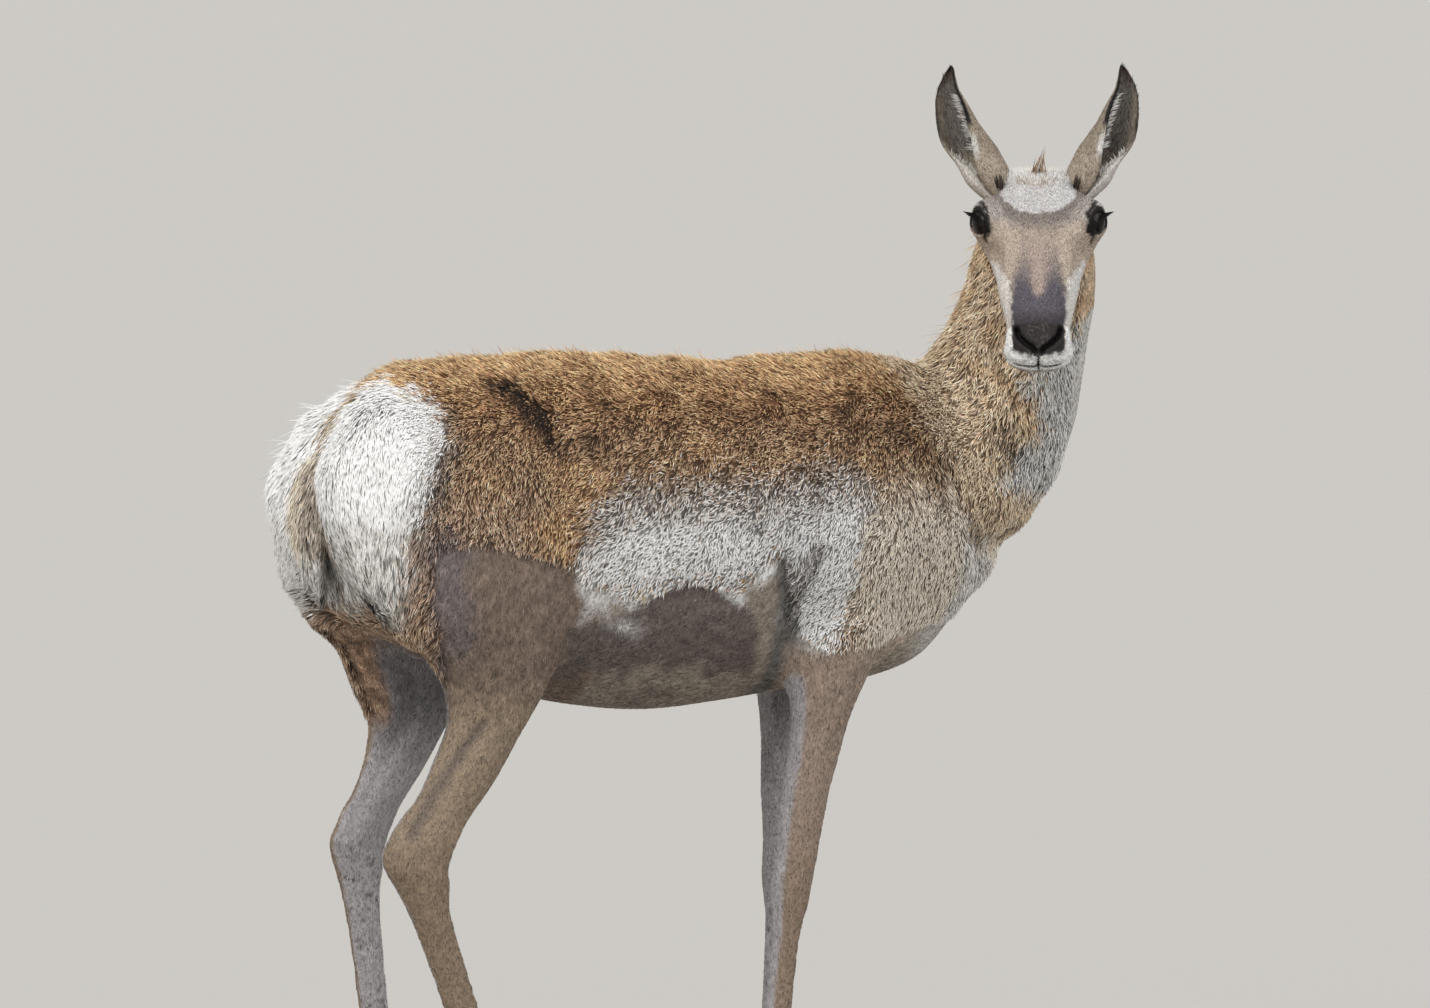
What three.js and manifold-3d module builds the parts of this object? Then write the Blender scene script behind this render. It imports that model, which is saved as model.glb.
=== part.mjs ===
// A pronghorn doe, life size, standing still with her head turned back to her right.
// Millimetres: +X is forward along the body, +Y is her left and +Z is up.
// The origin is on the ground, under the middle of the whole model.
import * as THREE from "three";
import { mergeVertices } from "three/addons/utils/BufferGeometryUtils.js";
import Module from "manifold-3d";

const wasm = await Module();
wasm.setup();

// Driving sizes, with the coat
const GAP = 0.35; // between two parts that meet
const RUMP_X = -420; // rearmost point of the trunk
const CHEST_X = 420; // foremost point of the trunk
const RUMP_ROUND = 100; // length over which the trunk rounds off behind
const CHEST_ROUND = 95; // length over which it rounds off in front
const TRUNK_CORE = 60; // how far inside its ends the middle lies that forms swell out from
const SIDES = { trunk: 38, neck: 26, head: 32, leg: 16, tail: 12 };
const HEAD_LENGTH = 272; // from the nape joint to the nose
const EYE_RADIUS = 19;
const LID = 3; // how far a lid stands over the eyeball
const EAR_LENGTH = 166; // with the root that is sunk in the head
const EAR_FREE = 52; // where along it the ear stands clear of the head
const CLAW_LENGTH = { fore: 74, hind: 69 };
const CORONET = 46; // height of the top of the claws in the middle

// The trunk from rump to chest
const TRUNK = [
  // x, back, belly, half width, widest height, fullness above, fullness below
  [-380, 826, 622, 100, 735, 2.1, 2.2],
  [-340, 856, 600, 112, 735, 2.1, 2.2],
  [-280, 884, 575, 119, 730, 2.0, 2.2],
  [-200, 889, 545, 123, 715, 1.9, 2.2],
  [-100, 893, 515, 131, 700, 1.85, 2.2],
  [0, 888, 505, 139, 690, 1.85, 2.2],
  [100, 881, 513, 139, 690, 1.8, 2.1],
  [180, 885, 522, 129, 695, 1.75, 2.0],
  [250, 889, 527, 117, 700, 1.7, 2.0],
  [310, 880, 540, 104, 705, 1.8, 2.0],
  [360, 860, 565, 88, 715, 2.0, 2.0],
  [400, 800, 600, 65, 715, 2.0, 2.0],
];

// Muscles, bones and hollows of the trunk, the same on both sides
const TRUNK_FORMS = [
  { name: "shoulder blade", at: [275, 100, 760], reach: [75, 60, 105], lift: 9 },
  { name: "point of the shoulder", at: [368, 84, 668], reach: [42, 50, 50], lift: 13 },
  { name: "upper arm", at: [232, 112, 662], reach: [60, 50, 60], lift: 12 },
  { name: "groove behind the shoulder", at: [150, 125, 640], reach: [32, 60, 85], lift: -7 },
  { name: "flank hollow", at: [-150, 125, 770], reach: [50, 60, 60], lift: -8 },
  { name: "hip bone", at: [-195, 85, 852], reach: [42, 45, 34], lift: 7 },
  { name: "rump half", at: [-405, 66, 738], reach: [56, 46, 90], lift: 15 },
  { name: "top of the rump half", at: [-365, 48, 820], reach: [50, 30, 42], lift: 9 },
  { name: "groove under the tail", at: [-420, 0, 700], reach: [70, 35, 100], lift: -38 },
  { name: "parting of the rump", at: [-365, 0, 822], reach: [60, 22, 50], lift: -12 },
  { name: "brisket", at: [400, 0, 612], reach: [40, 40, 40], lift: 8 },
];

// The neck, from inside the chest to the nape
const NECK_PATH = [
  [250, 0, 720],
  [334, 0, 735],
  [415, -8, 800],
  [452, -20, 880],
  [467, -32, 960],
  [473, -38, 1062],
];
const NECK_GIRTH = [
  // place along the path, half depth, half width
  [0, 148, 96],
  [1, 138, 92],
  [2, 104, 77],
  [3, 82, 64],
  [4, 71, 56],
  [5, 62, 52],
];
const NECK_RINGS = 13; // below the nape
const CHEST_CUT = { at: [378, 0, 775], slope: -0.464 }; // the plane between trunk and neck, in radians
const NAPE_ROUND = 0.85; // the last part of the path, over which the nape rounds off
const NAPE_STEPS = [0.85, 0.6, 0.38, 0.2, 0.08, 0.01]; // how far before its end the last rings stand

// The head lies along its own +X, with +Y to her left and +Z to the crown
const HEAD_JOINT = [472, -39, 1040];
const HEAD_TURN = -120.4; // degrees about the upright line
const HEAD_DIP = 35; // degrees that the muzzle points down
const HEAD = [
  // distance from the joint, top, bottom, half width, widest height, fullness above, below
  [-12, 34, -36, 34, 0, 2.0, 2.0],
  [8, 49, -50, 43, 2, 2.2, 2.1],
  [30, 60, -63, 51, 6, 2.4, 2.1],
  [60, 65, -72, 58, 15, 2.6, 2.0],
  [95, 60, -66, 61, 24, 3.0, 1.9],
  [112, 57, -61, 56, 20, 2.9, 1.95],
  [130, 52, -57, 49, 12, 2.5, 2.0],
  [170, 42, -49, 43, 0, 2.4, 2.1],
  [205, 33, -45, 35, -5, 2.3, 2.2],
  [235, 27, -44, 32, -8, 2.3, 2.3],
  [256, 22, -43, 36, -10, 2.4, 2.4],
];
const HEAD_FORMS = [
  { name: "corner of the crown", at: [14, 32, 40], reach: [26, 14, 18], lift: 8 },
  { name: "brow", at: [73, 64, 56], reach: [20, 16, 15], lift: 15 },
  { name: "orbit", at: [88, 58, 42], reach: [30, 26, 26], lift: 15 },
  { name: "cheek bone", at: [122, 52, 8], reach: [34, 14, 9], lift: 3 },
  { name: "hollow before the eye", at: [126, 48, 30], reach: [16, 14, 12], lift: -4 },
  { name: "chewing muscle", at: [56, 56, -24], reach: [32, 22, 32], lift: 5 },
  { name: "jaw hollow", at: [165, 44, -20], reach: [26, 16, 16], lift: -4 },
  { name: "nose bone", at: [180, 0, 42], reach: [60, 12, 14], lift: 2 },
  { name: "nostril wing", at: [250, 27, 10], reach: [13, 10, 10], lift: 4 },
  { name: "upper lip", at: [246, 30, -14], reach: [18, 12, 9], lift: 4 },
  { name: "lip cleft", at: [272, 0, -12], reach: [12, 4, 12], lift: -3 },
  { name: "chin", at: [240, 0, -44], reach: [16, 18, 12], lift: 3 },
];

const NOSE_ROUND = 27; // length over which the head rounds off to the nose
const NOSE_CORE = 18; // how far inside the nose the middle lies that forms swell out from
const CHIN_BACK = { slope: 0.22, from: 210, to: 262 }; // the muzzle's end leans back below
const NOSE_BACK = { curve: 0.016, from: 215, to: 272 }; // and curves back above
const NOSTRIL = { from: [246, 25, 15], to: [262, 8, 3], wide: 3.4, deep: 9, facing: [1, 0.35, 0.25] };
const MOUTH = { corner: 196, tip: 262, level: -24, depth: 5, half: 30, height: 2, droop: 0.06 };
const LIDS = { half: 17, above: 12.5, below: 10.5, fullness: 1.25 };

// Locks of hair: how wide one is along its length, and the tuft of them on the crown
const LOCK_SIDES = 5;
const LOCK_TAPER = [
  // part of the length, part of the width
  [-0.3, 0.7],
  [0.05, 1],
  [0.4, 0.82],
  [0.75, 0.45],
  [1, 0.08],
];
const CROWN_LOCKS = [
  // root's distance from the joint, root's place to the left, length, lean to the left
  [26, -9, 22, 0.5],
  [33, -5, 27, 0.45],
  [25, -2, 33, 0.2],
  [33, 2, 38, 0.12],
  [26, 5, 29, -0.2],
  [32, 9, 21, -0.5],
];
const CROWN_LOCK = { width: 4.5, thickness: 2.2 };
const CROWN_TOP = 61; // height of the crown where the tuft grows
const HORN_BUD = { at: [58, 33, 56], length: 11, width: 5 };

// Where the head ends: the nape, the throat and along under the jaw, seen from the side
const HEAD_OUTLINE = [
  [-27, 95],
  [320, 110],
  [320, -64],
  [128, -64],
  [95, -69],
  [62, -72],
];

const EYE = { at: [92, 53, 44], facing: [0.42, 0.88, 0.2] };

const EAR = { root: [46, 34, 32], along: [-0.729, 0.357, 0.585], facing: [0.65, 0.6, 0.45] };
const EAR_LEAN = { left: -0.03, right: 0 }; // her left ear leans in a little
const EAR_SHAPE = [
  // part of the length, radius of the roll, half angle of the roll in degrees, wall, bend out
  [0, 8, 172, 6.5, 0],
  [0.12, 19, 172, 17, 5],
  [0.24, 24.5, 165, 17, 8.5],
  [0.35, 24.5, 150, 6, 11],
  [0.455, 24.5, 128, 4, 16.5],
  [0.56, 23.5, 108, 3.8, 20.5],
  [0.666, 21.5, 95, 3.4, 21],
  [0.78, 17.5, 85, 3, 20],
  [0.877, 13.5, 80, 2.8, 15],
  [0.956, 8.5, 75, 2.4, 8],
  [1, 3, 75, 1.4, 2],
];

// Leg joints from the hip or shoulder down to the fetlock
const LEGS = {
  hind_right: {
    kind: "hind",
    toe: -18,
    joints: [[-265, -70, 760], [-165, -88, 612], [-306, -80, 350], [-219, -80, 96]],
  },
  hind_left: {
    kind: "hind",
    toe: 18,
    joints: [[-262, 70, 760], [-166, 88, 612], [-295, 78, 358], [-266, 80, 96]],
  },
  fore_right: {
    kind: "fore",
    toe: -6,
    joints: [[345, -70, 665], [205, -84, 585], [147, -75, 318], [122, -70, 92]],
  },
  fore_left: {
    kind: "fore",
    toe: 6,
    joints: [[345, 70, 665], [245, 82, 585], [216, 68, 318], [197, 60, 92]],
  },
};
const PASTERN = 22; // how far the coronet stands before the fetlock

// Leg sections. A whole number is a joint, 3 the fetlock and 4 the coronet.
const GIRTH = {
  hind: [
    // place, behind the bone line, before it, half width
    [-0.25, 90, 70, 26],
    [0, 138, 110, 42],
    [0.4, 176, 102, 50],
    [0.74, 196, 78, 50],
    [1, 188, 46, 46],
    [1.12, 128, 46, 43],
    [1.23, 92, 47, 40],
    [1.31, 70, 47, 38],
    [1.39, 57, 45, 35],
    [1.47, 49, 42, 32],
    [1.59, 44, 40, 28],
    [1.71, 42, 34, 24],
    [1.83, 49, 27, 21],
    [1.93, 49, 28, 21],
    [2, 38, 31, 21],
    [2.19, 26, 19, 17],
    [2.31, 23, 18, 14.5],
    [2.56, 20, 18, 13],
    [2.8, 19, 18, 13],
    [2.92, 24, 20, 16],
    [3, 27, 21, 18],
    [3.3, 22, 20, 18],
    [4, 24, 26, 24],
  ],
  fore: [
    [0.15, 50, 30, 24],
    [0.5, 92, 32, 34],
    [0.8, 84, 42, 37],
    [1, 68, 52, 37],
    [1.1, 62, 47, 34],
    [1.16, 57, 42, 32],
    [1.25, 51, 34, 29],
    [1.37, 43, 27, 26],
    [1.5, 38, 24, 24],
    [1.64, 35, 20, 21],
    [1.79, 29, 20, 19],
    [1.9, 26, 21, 19.5],
    [2, 25, 21, 20],
    [2.08, 22, 20, 18.5],
    [2.2, 18, 15, 15],
    [2.33, 17, 13.5, 13],
    [2.6, 16.5, 14, 13],
    [2.8, 17, 15, 13],
    [2.92, 22, 17, 16],
    [3, 25, 18, 17.5],
    [3.3, 20, 18, 18],
    [4, 24, 26, 24],
  ],
};

// Where a leg is divided: the height above its knee or hock, the outline of its upper
// part from the side, and how far from the middle of the body that part begins
const LOWER_TOP = { hind: 408, fore: 352 };
const UPPER_OUTLINE = {
  hind: [
    [-470, 560],
    [-425, 690],
    [-355, 768],
    [-285, 795],
    [-215, 780],
    [-155, 715],
    [-118, 640],
    [-104, 560],
    [-120, 380],
    [-470, 380],
  ],
  fore: [
    [60, 320],
    [112, 560],
    [135, 640],
    [190, 712],
    [260, 725],
    [335, 705],
    [392, 650],
    [372, 585],
    [310, 535],
    [290, 320],
  ],
};
const UPPER_DEPTH = {
  hind: (height) => 20 + (height - 410) * 0.2,
  fore: (height) => 10 + (height - 352) * 0.22,
};

// The tail hangs in the groove of the rump
const TAIL = [
  // height, centre x, half width, half thickness
  [632, -384, 6, 4],
  [648, -389, 15, 9],
  [672, -394, 22, 12],
  [704, -396, 25, 14],
  [738, -394, 22, 14],
  [770, -385, 15, 13],
  [800, -366, 13, 12],
  [826, -340, 12, 10],
];

const TAIL_STEPS = 10; // lengths of the tail, of which the lowest is hair alone
const TAIL_LOCKS = 5;
const TAIL_LOCK = { length: 20, width: 4.2, thickness: 3.6, sunk: 5 };

const COLOURS = {
  back: 0xa9825c,
  neck: 0xb08e6c,
  face: 0xa68f80,
  leg: 0xa08672,
  shin: 0xb3a79f,
  tail: 0x8a6a4c,
  ear: 0x9c7f66,
  horn: 0x2a2625,
  eye: 0x0d0b0b,
};

// General helpers

const { PI, abs, cos, exp, sign, sin } = Math;
const radians = THREE.MathUtils.degToRad;
const point = (x, y, z) => new THREE.Vector3(x, y, z);
const range = (count) => Array.from({ length: count }, (_, i) => i);

// A smooth curve through the rows of a table, whose first column is the place.
function curveOf(rows) {
  const last = rows.length - 1;
  const rise = (i, k) => (rows[i + 1][k] - rows[i][k]) / (rows[i + 1][0] - rows[i][0]);
  const slope = (i, k) => {
    const before = rise(Math.max(i - 1, 0), k);
    const after = rise(Math.min(i, last - 1), k);
    return before * after > 0 ? (2 * before * after) / (before + after) : 0;
  };
  return (place) => {
    const x = THREE.MathUtils.clamp(place, rows[0][0], rows[last][0]);
    const beyond = rows.findIndex((row, i) => i > 0 && row[0] >= x);
    const i = beyond - 1;
    const width = rows[beyond][0] - rows[i][0];
    const t = (x - rows[i][0]) / width;
    const ease = t * t * (3 - 2 * t);
    return rows[i].slice(1).map((value, column) => {
      const k = column + 1;
      const leave = slope(i, k) * width * t * (1 - t) ** 2;
      const arrive = slope(beyond, k) * width * t * t * (1 - t);
      return value + (rows[beyond][k] - value) * ease + leave - arrive;
    });
  };
}

// One ring of a section as [across, up] pairs. Fullness 2 is an ellipse and more is boxier.
function oval(sides, half, up, down, fullUp = 2, fullDown = 2) {
  const bulge = (value, full) => sign(value) * abs(value) ** (2 / full);
  return range(sides).map((i) => {
    const turn = (2 * PI * i) / sides;
    const full = sin(turn) > 0 ? fullUp : fullDown;
    const height = sin(turn) > 0 ? up : down;
    return [half * bulge(cos(turn), full), height * bulge(sin(turn), full)];
  });
}

// A closed skin over rings that have equally many points.
function loft(rings) {
  const sides = rings[0].length;
  const middle = (ring) => ring.reduce((sum, p) => sum.add(p), point(0, 0, 0)).divideScalar(sides);
  const points = [...rings.flat(), middle(rings[0]), middle(rings.at(-1))];
  const start = points.length - 2;
  const end = points.length - 1;
  const lastRing = (rings.length - 1) * sides;
  const faces = [];
  for (const side of range(sides)) {
    const next = (side + 1) % sides;
    for (const ring of range(rings.length - 1)) {
      const a = ring * sides + side;
      const b = ring * sides + next;
      faces.push(a, b, a + sides, b, b + sides, a + sides);
    }
    faces.push(start, next, side);
    faces.push(end, lastRing + side, lastRing + next);
  }
  const geometry = new THREE.BufferGeometry().setFromPoints(points);
  geometry.setIndex(faces);
  return geometry;
}

// Turns a closed geometry into a solid whose faces point out.
function solid(geometry) {
  const bare = geometry.clone();
  bare.deleteAttribute("normal");
  bare.deleteAttribute("uv");
  const merged = mergeVertices(bare, 1e-3);
  const vertProperties = new Float32Array(merged.attributes.position.array);
  const triVerts = new Uint32Array(merged.index.array);
  const made = new wasm.Manifold(new wasm.Mesh({ numProp: 3, vertProperties, triVerts }));
  if (made.volume() > 0) {
    return made;
  }
  triVerts.reverse();
  return new wasm.Manifold(new wasm.Mesh({ numProp: 3, vertProperties, triVerts }));
}

const joined = (pieces) => pieces.reduce((whole, piece) => whole.add(piece));
const largest = (body) => body.decompose().reduce((a, b) => (a.volume() > b.volume() ? a : b));

// Divides a solid at a cutter. The rest keeps clear of what was cut out.
function parted(body, cutter) {
  return [largest(body.intersect(cutter(0))), largest(body.subtract(cutter(GAP)))];
}

// A cutter in the shape of a box, given by its size and place.
function boxCutter(size, place) {
  return (grow) => {
    const box = new THREE.BoxGeometry(...size.map((side) => side + 2 * grow));
    return solid(box.applyMatrix4(place));
  };
}

// A cutter with an outline seen from the side, listed clockwise, that reaches out from a slanted face.
function sideCutter(outline, side, inner, reach = 400) {
  return (grow) => {
    const corners = outline.map((p) => new THREE.Vector2(...p));
    const moved = corners.map((corner, i) => {
      const before = corners.at(i - 1);
      const after = corners[(i + 1) % corners.length];
      const inwards = corner.clone().sub(before).normalize();
      const outwards = after.clone().sub(corner).normalize();
      const normal = new THREE.Vector2(-inwards.y - outwards.y, inwards.x + outwards.x);
      return corner.clone().addScaledVector(normal, grow / (1 + inwards.dot(outwards)));
    });
    const prism = new THREE.ExtrudeGeometry(new THREE.Shape(moved), { depth: 1, bevelEnabled: false });
    const places = prism.attributes.position;
    for (const i of range(places.count)) {
      const x = places.getX(i);
      const z = places.getY(i);
      const depth = inner(z) - grow + places.getZ(i) * reach;
      places.setXYZ(i, x, side * depth, z);
    }
    return solid(prism);
  };
}

// Moves a point of a ring out from, or in to, the ring's middle by the forms near it.
function shaped(place, middle, forms) {
  const amount = forms.reduce((sum, form) => {
    const away = [place.x, abs(place.y), place.z].map((value, k) => (value - form.at[k]) / form.reach[k]);
    return sum + form.lift * exp(-(away[0] ** 2 + away[1] ** 2 + away[2] ** 2));
  }, 0);
  const out = place.clone().sub(middle).normalize();
  return place.clone().addScaledVector(out, amount);
}

// Places along a line that crowd together towards both rounded ends.
function stations(start, end, startRound, endRound, caps, between) {
  const first = range(caps).map((i) => start + startRound * (1 - cos((PI / 2) * ((i + 0.35) / caps))));
  const last = range(caps).map((i) => end - endRound * (1 - cos((PI / 2) * ((i + 0.35) / caps))));
  const from = start + startRound;
  const step = (end - endRound - from) / between;
  const middle = range(between + 1).map((i) => from + step * i);
  return [...first, ...middle, ...last.reverse()];
}

// How much of its size a section has near a rounded end.
function rounding(distance, length, power) {
  const t = THREE.MathUtils.clamp(1 - distance / length, 0, 1);
  return (1 - t ** power) ** (1 / power);
}

// The trunk
function trunk() {
  const shape = curveOf(TRUNK);
  const places = stations(RUMP_X, CHEST_X, RUMP_ROUND, CHEST_ROUND, 5, 15);
  const rings = places.map((x) => {
    const [back, belly, half, widest, fullUp, fullDown] = shape(x);
    const behind = x - RUMP_X;
    const before = CHEST_X - x;
    const tall = rounding(behind, RUMP_ROUND, 2.2) * rounding(before, CHEST_ROUND, 2.2);
    const wide = rounding(behind, RUMP_ROUND, 3) * rounding(before, CHEST_ROUND, 2.6);
    const above = (back - widest) * tall;
    const below = (widest - belly) * tall;
    const ring = oval(SIDES.trunk, half * wide, above, below, fullUp, fullDown);
    const middle = point(THREE.MathUtils.clamp(x, RUMP_X + TRUNK_CORE, CHEST_X - TRUNK_CORE), 0, widest);
    return ring.map(([y, z]) => shaped(point(x, y, widest + z), middle, TRUNK_FORMS));
  });
  return solid(loft(rings));
}

// The neck
function neck() {
  const path = new THREE.CatmullRomCurve3(NECK_PATH.map((p) => point(...p)));
  const girth = curveOf(NECK_GIRTH);
  const top = NECK_PATH.length - 1;
  const even = range(NECK_RINGS).map((i) => ((top - NAPE_ROUND) * i) / NECK_RINGS);
  const rings = [...even, ...NAPE_STEPS.map((before) => top - before)].map((place) => {
    const part = place / top;
    const round = rounding(top - place, NAPE_ROUND, 2);
    const [depth, width] = girth(place).map((size) => size * round);
    const centre = path.getPoint(part);
    const along = path.getTangent(part);
    const turn = radians(HEAD_TURN) * 0.5 * part ** 2;
    const left = point(-sin(turn), cos(turn), 0);
    left.addScaledVector(along, -left.dot(along)).normalize();
    const crest = along.clone().cross(left).negate();
    return oval(SIDES.neck, width, depth, depth, 1.9, 2).map(([y, z]) =>
      centre.clone().addScaledVector(left, y).addScaledVector(crest, -z),
    );
  });
  return solid(loft(rings));
}

// The head, in its own directions
const headPlace = new THREE.Matrix4()
  .makeTranslation(...HEAD_JOINT)
  .multiply(new THREE.Matrix4().makeRotationZ(radians(HEAD_TURN)))
  .multiply(new THREE.Matrix4().makeRotationY(radians(HEAD_DIP)));

function skull() {
  const shape = curveOf(HEAD);
  const caps = 5;
  const places = stations(HEAD[0][0], HEAD_LENGTH, 1, NOSE_ROUND, caps, 19).slice(caps);
  const rings = places.map((x) => {
    const [top, bottom, half, widest, fullUp, fullDown] = shape(x);
    const size = rounding(HEAD_LENGTH - x, NOSE_ROUND, 2.3);
    const above = (top - widest) * size;
    const below = (widest - bottom) * size;
    const ring = oval(SIDES.head, half * size, above, below, fullUp, fullDown);
    const middle = point(Math.min(x, HEAD_LENGTH - NOSE_CORE), 0, widest);
    const chin = CHIN_BACK.slope * THREE.MathUtils.smoothstep(x, CHIN_BACK.from, CHIN_BACK.to);
    const nose = NOSE_BACK.curve * THREE.MathUtils.smoothstep(x, NOSE_BACK.from, NOSE_BACK.to);
    return ring.map(([y, z]) => {
      const spot = shaped(point(x, y, widest + z), middle, HEAD_FORMS);
      spot.x -= chin * Math.max(0, -z) + nose * Math.max(0, z) ** 2;
      return spot;
    });
  });
  return loft(rings);
}

// A frame that looks along a direction, with its own up as near as it can be to the given one.
function looking(origin, forward, up) {
  const x = point(...forward).normalize();
  const y = point(...up).cross(x).normalize();
  const z = x.clone().cross(y);
  return new THREE.Matrix4().makeBasis(x, y, z).setPosition(...origin);
}

const mirrored = (geometry, side) => geometry.scale(1, side, 1);
const eyeFrame = looking(EYE.at, EYE.facing, [0.28, 0, 1]);

function ball(radius) {
  return new THREE.SphereGeometry(radius, 16, 11).rotateZ(-PI / 2).applyMatrix4(eyeFrame);
}

// The almond opening between the lids, wider before than behind
function lidOpening() {
  const outline = range(20).map((i) => {
    const turn = (2 * PI * i) / 20;
    const high = sin(turn) > 0 ? LIDS.above : LIDS.below;
    const up = high * sign(sin(turn)) * abs(sin(turn)) ** LIDS.fullness;
    return new THREE.Vector2(LIDS.half * cos(turn), up);
  });
  const prism = new THREE.ExtrudeGeometry(new THREE.Shape(outline), { depth: 40, bevelEnabled: false });
  const outwards = new THREE.Matrix4().makeBasis(point(0, 1, 0), point(0, 0, 1), point(1, 0, 0));
  return prism.applyMatrix4(outwards).applyMatrix4(eyeFrame);
}

// A rounded pit such as a nostril, as a stretched ball from one point to another
function pit({ from, to, wide, deep, facing }) {
  const start = point(...from);
  const end = point(...to);
  const middle = start.clone().add(end).multiplyScalar(0.5);
  const length = start.distanceTo(end) / 2;
  const frame = looking(middle.toArray(), facing, end.sub(start).toArray());
  return new THREE.SphereGeometry(1, 12, 8).scale(deep, wide, length).applyMatrix4(frame);
}

// The line of the mouth: a thin band that bites into both sides of the muzzle
function mouthLine() {
  const { corner, tip, level, depth, half, height, droop } = MOUTH;
  const front = tip - depth;
  const frontRound = 34;
  const inner = (x) => half * rounding(front - x, frontRound, 2.2) - 1;
  const steps = range(9).map((i) => corner + (front - corner) * sin((PI / 2) * (i / 8)));
  const oneSide = steps.map((x) => new THREE.Vector2(x, inner(x) + 0.01));
  const otherSide = oneSide.map((p) => new THREE.Vector2(p.x, -p.y)).reverse();
  const far = 60;
  const around = [[corner, -far], [tip + far, -far], [tip + far, far], [corner, far]];
  const outside = around.map((p) => new THREE.Vector2(...p));
  const band = new THREE.Shape([...oneSide, ...otherSide, ...outside]);
  const sheet = new THREE.ExtrudeGeometry(band, { depth: height, bevelEnabled: false });
  const places = sheet.attributes.position;
  for (const i of range(places.count)) {
    const back = Math.max(0, tip - places.getX(i) - frontRound);
    places.setZ(i, places.getZ(i) + level - droop * back);
  }
  return sheet;
}

// An ear: a rolled leaf whose wall is full at the root and thin at the tip
function earFrame(name) {
  const [back, out, up] = EAR.along;
  return looking(EAR.root, [back, out + EAR_LEAN[name], up], EAR.facing);
}

function earLeaf(name) {
  const shape = curveOf(EAR_SHAPE);
  const frame = earFrame(name);
  const rings = range(13).map((i) => {
    const part = 1 - (1 - i / 12) ** 1.25;
    const [radius, half, wall, bend] = shape(part);
    const arc = (count, size) =>
      range(count).map((k) => {
        const turn = radians(half) * (1 - (2 * k) / (count - 1));
        return point(EAR_LENGTH * part, size * sin(turn), -size * cos(turn));
      });
    const ring = [...arc(9, radius), ...arc(7, radius - wall).reverse()];
    return ring.map((p) => p.applyMatrix4(frame).add(point(0, bend, 0)));
  });
  return loft(rings);
}

// A flat lock of hair that bends from the direction it leaves in to the one it ends in
function lock(root, leave, arrive, flat, { length, width, thickness }) {
  const out = point(...leave).normalize();
  const end = point(...arrive).normalize();
  const rings = LOCK_TAPER.map(([part, size]) => {
    const bent = Math.max(part, 0) ** 2 / 2;
    const centre = point(...root);
    centre.addScaledVector(out, length * (part - bent)).addScaledVector(end, length * bent);
    const along = out.clone().lerp(end, Math.max(part, 0)).normalize();
    const across = point(...flat).cross(along).normalize();
    const facing = along.clone().cross(across);
    return oval(LOCK_SIDES, width * size, thickness * size, thickness * size).map(([y, z]) =>
      centre.clone().addScaledVector(across, y).addScaledVector(facing, z),
    );
  });
  return loft(rings);
}

// The locks of the crown lean in to one point, and turn round one another a little.
function crownTuft() {
  return CROWN_LOCKS.map(([back, left, length, lean], i) => {
    const facing = i % 2 ? [0.8, 0.6, 0] : [0.8, -0.6, 0];
    const size = { length, ...CROWN_LOCK };
    return lock([back, left, CROWN_TOP], [-0.1, lean, 1], [-0.45, lean * 0.2, 0.9], facing, size);
  });
}

function hornBud() {
  const bud = new THREE.ConeGeometry(HORN_BUD.width, 2 * HORN_BUD.length, 8).rotateX(PI / 2);
  return bud.translate(...HORN_BUD.at);
}

// The legs
function legJoints({ joints, toe }) {
  const bones = joints.map((p) => point(...p));
  const foot = bones.at(-1).clone();
  foot.x += PASTERN * cos(radians(toe));
  foot.y += PASTERN * sin(radians(toe));
  foot.z = CORONET;
  return [...bones, foot];
}

function leg(limb) {
  const bones = legJoints(limb);
  const rows = GIRTH[limb.kind];
  const shape = curveOf(rows);
  const rings = rows.map(([place]) => {
    const i = THREE.MathUtils.clamp(Math.floor(place), 0, bones.length - 2);
    const centre = bones[i].clone().lerp(bones[i + 1], place - i);
    const [behind, before, half] = shape(place);
    const turn = radians(limb.toe) * THREE.MathUtils.smoothstep(place, 1, 2);
    const slant = place === rows.at(-1)[0] ? 0.2 : 0;
    return oval(SIDES.leg, 1, 1, 1).map(([across, along]) => {
      const forward = along * (before + behind) / 2 + (before - behind) / 2;
      const left = across * half;
      return point(
        centre.x + forward * cos(turn) - left * sin(turn),
        centre.y + forward * sin(turn) + left * cos(turn),
        centre.z + forward * slant,
      );
    });
  });
  return solid(loft(rings));
}

// One claw of a cloven hoof, flat below and towards its neighbour, pointed in front
function claw(limb, side) {
  const foot = legJoints(limb).at(-1);
  const length = CLAW_LENGTH[limb.kind];
  const levels = [
    // height as a part of the whole, length, toe's place, half width
    [0, length, 0.62, 23],
    [0.3, length * 0.94, 0.54, 24],
    [0.65, length * 0.82, 0.44, 24],
    [1, length * 0.68, 0.36, 22],
  ];
  const turn = radians(limb.toe);
  const rings = levels.map(([high, long, toe, wide]) => {
    const outer = range(9).map((i) => {
      const part = i / 8;
      return [toe * length - long * part, 1.2 + wide * sin(PI * (0.06 + 0.9 * part ** 0.75)) ** 0.8];
    });
    const flat = range(4).map((i) => [toe * length - long * (1 - i / 4), 1.2]);
    return [...outer, ...flat].map(([forward, left]) => {
      const top = CORONET - GAP + forward * 0.2;
      return point(
        foot.x + forward * cos(turn) - side * left * sin(turn),
        foot.y + forward * sin(turn) + side * left * cos(turn),
        high * top,
      );
    });
  });
  return solid(loft(rings));
}

// The tail from one of its steps up. It is made a gap larger for the trough that it lies in.
const tailLow = TAIL[0][0];
const tailHigh = TAIL.at(-1)[0];
const tailHeight = (step) => tailLow + ((tailHigh - tailLow) * step) / TAIL_STEPS;

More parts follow.
